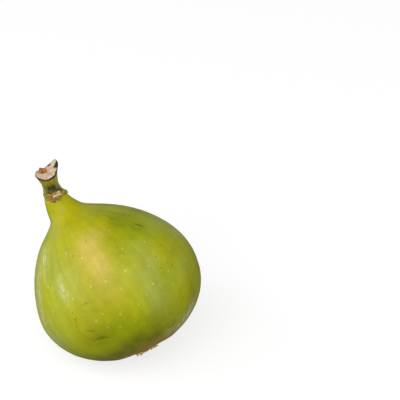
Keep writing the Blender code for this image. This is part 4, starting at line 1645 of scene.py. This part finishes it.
@dataclass
class BractCollar:
    """The thin ring where the stalk joins the neck, with its dried bracts."""

    axes: FigAxes
    finish: DryFinish = DryFinish(
        "dry_bract",
        0.6,
        middle=srgb(236, 208, 158),
        other=srgb(210, 164, 98),
        root=srgb(104, 66, 18),
        # painted shade in the dark gaps between the bracts, at their roots and on the ring
        edge=srgb(240, 216, 174),
        fresh=srgb(156, 146, 20),
        brown=srgb(140, 94, 20),
    )
    height: float = 54.9 * MM  # of the ring on the middle line
    thickness: float = 0.7 * MM
    radius: float = 3.35 * MM
    lobes: tuple[int, float, float] = (5, 0.7, 0.03)  # count, phase and share of the radius
    # The ring's section, as shares of half the thickness and of the radius
    section: tuple[Row, ...] = (
        (-1.65, 0.9), (-1.5, 0.965), (-0.45, 0.985), (0.0, 0.975), (0.45, 0.95), (0.9, 0.91), (1.0, 0.86),
    )
    sides: int = 140
    rough: tuple[Row, ...] = ((13.0, 2.0, 0.015), (31.0, 0.0, 0.01))  # waves, slant, share of the radius
    front: Row = (262.0, 42.0)  # degrees to the dry side, and its width
    # Angle, then out, lift, reach and width in millimetres, lean, curl, cup, and how fresh and how brown
    bracts: tuple[Row, ...] = (
        (-114.0, 2.85, 0.0, 1.4, 4.2, 6.0, 10.0, 0.5, 0.5, 0.6),
        (-82.0, 3.0, -0.2, 2.1, 2.8, 14.0, 60.0, -0.3, 0.0, 0.0),
        (-68.0, 3.0, 0.0, 1.9, 1.4, 12.0, 30.0, 0.3, 0.0, 0.0),
        (-80.0, 3.25, -0.7, 1.1, 2.4, 30.0, 40.0, 0.3, 0.0, 0.7),
        (-128.0, 3.0, -0.5, 1.7, 2.0, 10.0, 40.0, 0.2, 0.0, 0.75),
        (-142.0, 3.0, 0.0, 1.0, 1.0, 14.0, 40.0, 0.3, 0.0, 0.1),
        (-118.0, 3.35, -0.3, 0.9, 0.9, 152.0, 14.0, 0.2, 0.2, 0.8),
        (-102.0, 3.4, -0.3, 1.2, 1.0, 150.0, 10.0, 0.2, 0.1, 1.0),
        (-80.0, 3.4, -0.3, 1.1, 1.2, 150.0, 14.0, 0.2, 0.2, 0.9),
        (-8.0, 2.85, -0.3, 1.5, 2.2, 122.0, 4.0, 0.2, 0.85, 0.5),
        (62.0, 2.85, 0.0, 1.2, 1.9, 60.0, 30.0, 0.4, 0.5, 0.4),
        (118.0, 2.85, 0.0, 1.8, 2.4, 46.0, 50.0, 0.4, 0.0, 0.1),
        (168.0, 2.85, -0.1, 1.0, 1.8, 10.0, 10.0, 0.4, 0.3, 0.6),
    )
    bract_thickness: float = 0.34 * MM
    rag: float = 0.3
    wave: float = 0.25 * MM
    crumple: float = 0.36 * MM
    seed: int = 5

    def ring(self) -> Shape:
        """Forms the ring under the bracts."""
        middle, along, across, away = (np.array(v) for v in self.axes.cross(self.height))
        angles = np.linspace(0.0, FULL_TURN, self.sides, endpoint=False)
        out = np.cos(angles)[:, None] * across + np.sin(angles)[:, None] * away
        count, phase, part = self.lobes
        rings = []
        for lift, share in self.section:
            rough = sum(size * np.sin(waves * angles + slant * lift) for waves, slant, size in self.rough)
            reach = share * self.radius * (1.0 + part * np.cos(count * angles + phase) + rough)
            rings.append(middle + reach[:, None] * out + lift * self.thickness / 2.0 * along)
        half = self.thickness / 2.0 * along
        made = Shape.from_rings(rings, middle - half, middle + half)
        # the low share gives the ring the roots' painted shade
        made.keep("blade", (0.35, 0.12, 0.5))
        front = np.append(np.tile(hump(np.degrees(angles), *self.front), len(self.section)), (0.5, 0.5))
        made.values["hue"] = np.column_stack((0.75 - 0.7 * front, 0.3 - 0.3 * front, 0.0 * front))
        return made

    def build(self, lay: Matrix) -> None:
        """Builds ring and bracts.

        Args:
            lay: The move from the fig's own axes to the floor.
        """
        draw = random.Random(self.seed)
        middle, along, across, away = self.axes.cross(self.height)
        shapes = [self.ring()]
        for degrees, root, lift, reach, width, lean, curl, cup, fresh, brown in self.bracts:
            angle = math.radians(degrees)
            out = math.cos(angle) * across + math.sin(angle) * away
            blade = Blade(
                length=reach * MM,
                width=width * MM,
                thickness=self.bract_thickness,
                lean=math.radians(lean),
                curl=math.radians(curl),
                cup=cup,
                rag=self.rag,
                wave=self.wave,
                crumple=self.crumple * (1.0 - fresh),
                hue=(fresh, brown),
                rows=26,
                columns=25,
            )
            shapes.append(blade.shape(middle + root * MM * out + lift * MM * along, out, along, draw))
        shape = Shape.together(shapes).moved(lay)
        add_piece("bract_collar", shape, self.finish.material())


@dataclass(frozen=True)
class StalkFinish:
    """Green bark, dark at the cut's rim, round pale wood."""

    green: Colour = srgb(128, 131, 14)
    light: Colour = srgb(172, 172, 72)  # lighter streaks
    dark: Colour = srgb(50, 44, 4)  # the patch over the collar
    spot: Colour = srgb(128, 104, 6)  # the small brown spot
    rim: Colour = srgb(44, 26, 26)  # the bark where it was cut
    rim_red: Colour = srgb(128, 70, 26)  # what it wanders to
    wood: Colour = srgb(212, 192, 160)
    wood_pink: Colour = srgb(188, 160, 148)  # what it wanders to
    hollow: Colour = srgb(172, 106, 46)
    tip: Colour = srgb(186, 182, 156)  # of the spur
    black: Colour = srgb(40, 24, 32)  # the blackened edge of the spur
    # Scale, detail and range of the noise, then what is left at its low and high end
    tone: Row = (0.5, 3.0, 0.36, 0.64, 0.0, 0.5)
    smudge: Row = (1.3, 4.0, 0.3, 0.55, 0.75)
    wood_grain: Row = (0.9, 3.0, 0.42, 0.66)
    torn: Row = (1.6, 3.0, 0.3, 0.5, 0.8)
    reds: Row = (1.1, 3.0, 0.48, 0.6)
    streaks: Row = (7.0, 0.35, 0.16)  # count, run and amount
    margin: Row = (1.5, 0.4, 0.7)  # scale, start and raggedness of the rim
    wood_mottle: Row = (3.4, 0.1)  # scale and amount
    mottle: Row = (2.4, 0.1)
    grain: Row = (3.0, 3.0)
    roughness: Row = (0.5, 0.85)  # of the bark and of the cut
    bump: Row = (0.8, 0.12 * MM)
    specular: float = 0.3

    def material(self) -> bpy.types.Material:
        """Builds the material."""
        coat = Coat("stalk_bark")
        cut, rim, hollow = coat.values("cut")
        dark, spot, tip = coat.values("stains")
        black, lit, _ = coat.values("burn")
        coat.colour = coat.blend(coat.patches(*self.tone), self.green, self.light)
        coat.tint(lit, self.light)
        coat.tint(coat.times(dark, coat.patches(*self.smudge)), self.dark)
        coat.tint(spot, self.spot)
        streaks = coat.fibres(*self.streaks)
        bark = coat.colour
        coat.colour = coat.blend(coat.patches(*self.wood_grain), self.wood, self.wood_pink)
        coat.mottle(*self.wood_mottle)
        coat.tint(coat.times(hollow, coat.patches(*self.torn)), self.hollow)
        coat.colour = coat.blend(cut, bark, coat.colour)
        coat.tint(tip, self.tip)
        reds = coat.blend(coat.patches(*self.reds), self.rim, self.rim_red)
        coat.tint(coat.margin(rim, *self.margin), reds)
        coat.tint(black, self.black)
        coat.mottle(*self.mottle)
        height = coat.plus(streaks, coat.noise(coat.place, *self.grain))
        roughness = coat.remap(cut, 0.0, 1.0, *self.roughness)
        return coat.finish(roughness, height, self.bump, {"Specular IOR Level": self.specular})


@dataclass
class Stalk:
    """The stalk with its slanting, hollowed cut end and the spur that was torn off the branch."""

    axes: FigAxes
    finish: StalkFinish = StalkFinish()
    collar_height: float = 54.9 * MM  # from which distances along the stalk are measured
    start: float = 0.65 * MM
    base_radius: float = 2.88 * MM
    waist_radius: float = 2.34 * MM
    waist: float = 2.9 * MM
    stout_side: float = 0.3 * MM  # how much thicker foot and waist are opposite the spur
    late_waist: float = 1.1 * MM  # how much higher the waist reaches on that side
    flare_power: Row = (1.7, 1.15)  # lateness on the spur's side and the other
    # The cut's edge: degrees round, and height and reach in millimetres
    rim: tuple[Row, ...] = (
        (-180.0, 7.0, 3.6), (-165.0, 6.83, 3.44), (-150.0, 6.52, 3.17), (-135.0, 6.24, 2.91),
        (-120.0, 5.97, 2.68), (-105.0, 5.88, 2.58), (-90.0, 5.93, 2.62), (-75.0, 6.05, 2.76),
        (-60.0, 6.15, 2.8), (-45.0, 6.25, 2.83), (-30.0, 6.6, 2.94), (-15.0, 7.15, 3.13), (0.0, 7.93, 3.86),
        (15.0, 8.64, 4.32), (30.0, 9.1, 4.42), (45.0, 8.82, 4.16), (60.0, 8.15, 3.85), (75.0, 7.75, 3.5),
        (90.0, 7.4, 3.1), (105.0, 7.62, 3.3), (119.0, 8.2, 3.0), (125.0, 7.4, 3.42), (140.0, 7.64, 3.42),
        (155.0, 7.42, 3.56), (168.0, 7.2, 3.65),
    )
    face_middle: float = 6.6 * MM  # height of the cut face's middle
    face_drop: float = 0.35 * MM  # how much the face is sunk inside its edge
    torn_angle: float = 108.0  # degrees round to the torn hollow
    torn_reach: float = 2.5 * MM  # how far out it is
    torn_radius: float = 1.2 * MM
    torn_depth: float = 0.95 * MM
    torn_side: float = 17.0  # degrees over which the hollow runs out through the edge
    rim_width: float = 1.25 * MM  # of the dark rim below the cut
    bare: Row = (158.0, 16.0)  # degrees round to where the rim has none of it, and how far
    scab: Row = (64.0, 14.0)  # the same for the dark place on the face's far edge
    # Strength, degrees round, width and power of its edge, and the heights in millimetres over which it
    # sets in, for each stain
    dark: tuple[Row, ...] = ((1.0, -96.0, 44.0, 2, 4.9, 2.8), (0.5, -50.0, 30.0, 2, 2.6, 0.8))
    tip: tuple[Row, ...] = ((0.85, 38.0, 34.0, 4, 7.7, 8.3), (0.6, 158.0, 18.0, 2, 5.6, 6.4))
    black: Row = (1.3, 10.0, 17.0, 4, 7.1, 7.6)
    black_end: Row = (8.9, 8.5)  # heights over which it ends
    light: Row = (0.8, -22.0, 26.0, 2, 1.6, 3.4)
    spot: Row = (-98.0, 15.0, 4.1, 0.5)  # degrees round and width, height and its width
    dark_gain: float = 1.3
    rib_count: Row = (2.6, 2.6, 0.12)  # how closely the ribs stand round the stalk, twice, and lengthwise
    sides: int = 240
    rings: int = 90
    face_rings: int = 44
    rag: float = 0.06 * MM  # how ragged the cut's edge is
    rib: float = 0.07 * MM  # height of the bark's ribs

    def edge(self, angle: np.ndarray) -> tuple[np.ndarray, np.ndarray]:
        """Finds the cut's edge.

        Args:
            angle: Angles round the stalk.

        Returns:
            Height and reach of the edge at each.
        """
        degrees, heights, reaches = np.array(self.rim).T
        circle = np.column_stack((np.cos(angle), np.sin(angle), np.zeros_like(angle)))
        ragged = self.rag * (noise_at(circle, 3.1, 2.0) + noise_at(circle, 9.0, 7.0))
        height = np.interp(np.degrees(angle), degrees, heights * MM, period=360.0) + ragged
        return height, np.interp(np.degrees(angle), degrees, reaches * MM, period=360.0)

    def radius(self, angle: np.ndarray, travel: np.ndarray) -> np.ndarray:
        """Gives the radius of the stalk on each side.

        Args:
            angle: Angles round it.
            travel: Distances up from the collar, one for each angle.

        Returns:
            The radius at each.
        """
        top, reach = self.edge(angle)
        stout = (0.5 - 0.5 * np.cos(angle)) ** 2
        foot = self.base_radius + 0.6 * self.stout_side * stout
        waist = self.waist_radius + self.stout_side * stout
        low = foot + smooth_step(0.0, self.waist, travel) * (waist - foot)
        start = self.waist + self.late_waist * stout
        power = self.flare_power[0] + stout * (self.flare_power[1] - self.flare_power[0])
        late = np.clip((travel - start) / (top - start), 0.0, 1.0) ** power
        return low + late * (reach - waist)

    def from_hollow(self, angle: np.ndarray, reach: np.ndarray) -> np.ndarray:
        """Gives the distance of places on the face from the middle of the torn hollow."""
        torn = math.radians(self.torn_angle)
        x, y = self.torn_reach * math.cos(torn), self.torn_reach * math.sin(torn)
        return np.hypot(reach * np.cos(angle) - x, reach * np.sin(angle) - y)

    def face_point(self, angle: np.ndarray, share: float) -> tuple[np.ndarray, np.ndarray]:
        """Gives reach and height of the cut face.

        Args:
            angle: Angles round the stalk.
            share: How far out, from 0 in the middle to 1 at the edge.

        Returns:
            The reach and the height at each angle.
        """
        top, edge_reach = self.edge(angle)
        inner = 1.0 - share**1.6
        drop = self.face_drop * min(1.0, 8.0 * (1.0 - share)) * share
        height = top + inner * (self.face_middle - top) - drop
        reach = share * edge_reach
        wall = min(1.0, 7.0 * (1.0 - share))
        torn = hump(self.from_hollow(angle, reach), 0.0, self.torn_radius, 4)
        return reach, height - self.torn_depth * wall * torn

    def shape(self) -> Shape:
        """Forms the stalk in the fig's own axes, with what its finish reads kept on the points."""
        middle, along, across, away = (np.array(v) for v in self.axes.cross(self.collar_height))
        angle = np.linspace(0.0, FULL_TURN, self.sides, endpoint=False)
        cos, sin, degrees = np.cos(angle), np.sin(angle), np.degrees(angle)
        out = cos[:, None] * across + sin[:, None] * away
        top, _ = self.edge(angle)
        zero = np.zeros_like(angle)
        back = smooth_step(0.2, 0.7, sin)
        bare = 0.9 * hump(degrees, *self.bare)
        width = self.rim_width * (1.0 - 0.1 * smooth_step(-0.2, 0.6, cos) - 0.45 * back)
        levels = []
        for step in range(self.rings + 1):
            height = self.start + step / self.rings * (top - self.start)
            rim = 1.0 - np.clip((top - height) / (width * (1.0 - bare)), 0.0, 1.0)
            levels.append((self.radius(angle, height), height, (zero, 1.15 * rim, zero)))
        torn_side = np.abs(degrees - self.torn_angle) < self.torn_side
        shown = np.maximum(1.0 - back, 0.8 * hump(degrees, *self.scab))
        for step in range(self.face_rings - 1):
            share = 1.0 - (step + 1) / self.face_rings
            reach, height = self.face_point(angle, share)
            far = self.from_hollow(angle, reach) / self.torn_radius
            hollow = np.maximum(1.0 - smooth_step(0.85, 1.25, far), torn_side * (share > 0.6))
            rim = np.interp(share, (0.72, 0.95), (0.0, 1.0)) * shown * (1.0 - bare)
            levels.append((reach, height, (zero + 1.0, rim, hollow)))
        rings = [middle + reach[:, None] * out + height[:, None] * along for reach, height, _ in levels]
        around = [np.column_stack((cos, sin, height / MM)) for _, height, _ in levels]
        cut = [np.column_stack(marks) for _, _, marks in levels]
        centre = self.face_point(angle[:1], 0.0)[1][0]
        shape = Shape.from_rings(rings, middle + self.start * along, middle + centre * along)
        shape.values["around"] = np.concatenate([*around, np.zeros((2, 3))])
        shape.values["cut"] = np.concatenate([*cut, [(0.0, 0.0, 0.0)], [(1.0, 0.0, 0.0)]])
        return shape

    def stains(self, shape: Shape) -> None:
        """Keeps on the points the dark patch, the brown spot, the grey tip and the blackened edge.

        Args:
            shape: The stalk in the fig's own axes.
        """
        cos, sin, height = shape.values["around"].T
        angle = np.degrees(np.arctan2(sin, cos))
        bark = 1.0 - shape.values["cut"][:, 0]

        def stain(row: Row) -> np.ndarray:
            """Gives how much each point has of the stain that a row describes."""
            strength, middle, width, power, low, high = row
            return strength * hump(angle, middle, width, power) * smooth_step(low, high, height)

        dark = np.clip(self.dark_gain * sum(map(stain, self.dark)), 0.0, 1.0) * bark
        spot = hump(angle, *self.spot[:2]) * hump(height, *self.spot[2:]) * bark
        shape.values["stains"] = np.column_stack((dark, spot, sum(map(stain, self.tip))))
        black = stain(self.black) * smooth_step(*self.black_end, height)
        shape.values["burn"] = np.column_stack((black, stain(self.light) * bark, np.zeros_like(black)))

    def build(self, lay: Matrix) -> None:
        """Builds the stalk.

        Args:
            lay: The move from the fig's own axes to the floor.
        """
        shape = self.shape()
        self.stains(shape)
        ribs = shape.values["around"] * np.array(self.rib_count)
        bark = 1.0 - shape.values["cut"][:, 0]
        heights = self.rib * noise_at(ribs, 1.0, 4.0) * bark
        heights += 0.5 * self.rib * noise_at(shape.points, 0.9 / MM, 8.0)
        shape.relieve(heights)
        add_piece("stalk", shape.moved(lay), self.finish.material())


def main() -> None:
    """Builds the studio, the camera and every piece of the fig."""
    logging.basicConfig(level=logging.INFO, format="%(message)s")
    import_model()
    Studio().build()
    view = Viewpoint()
    view.build()
    noise.seed_set(NOISE_SEED)
    for write in (Effect.write_mottle, Effect.write_fibres, Effect.write_spot, Effect.write_dry_edge):
        write()
    axes = FigAxes()
    fruit = Fruit(axes, view)
    lay = fruit.build()
    EyeScales(fruit).build(lay)
    BractCollar(axes).build(lay)
    Stalk(axes).build(lay)


if __name__ == "__main__":
    main()
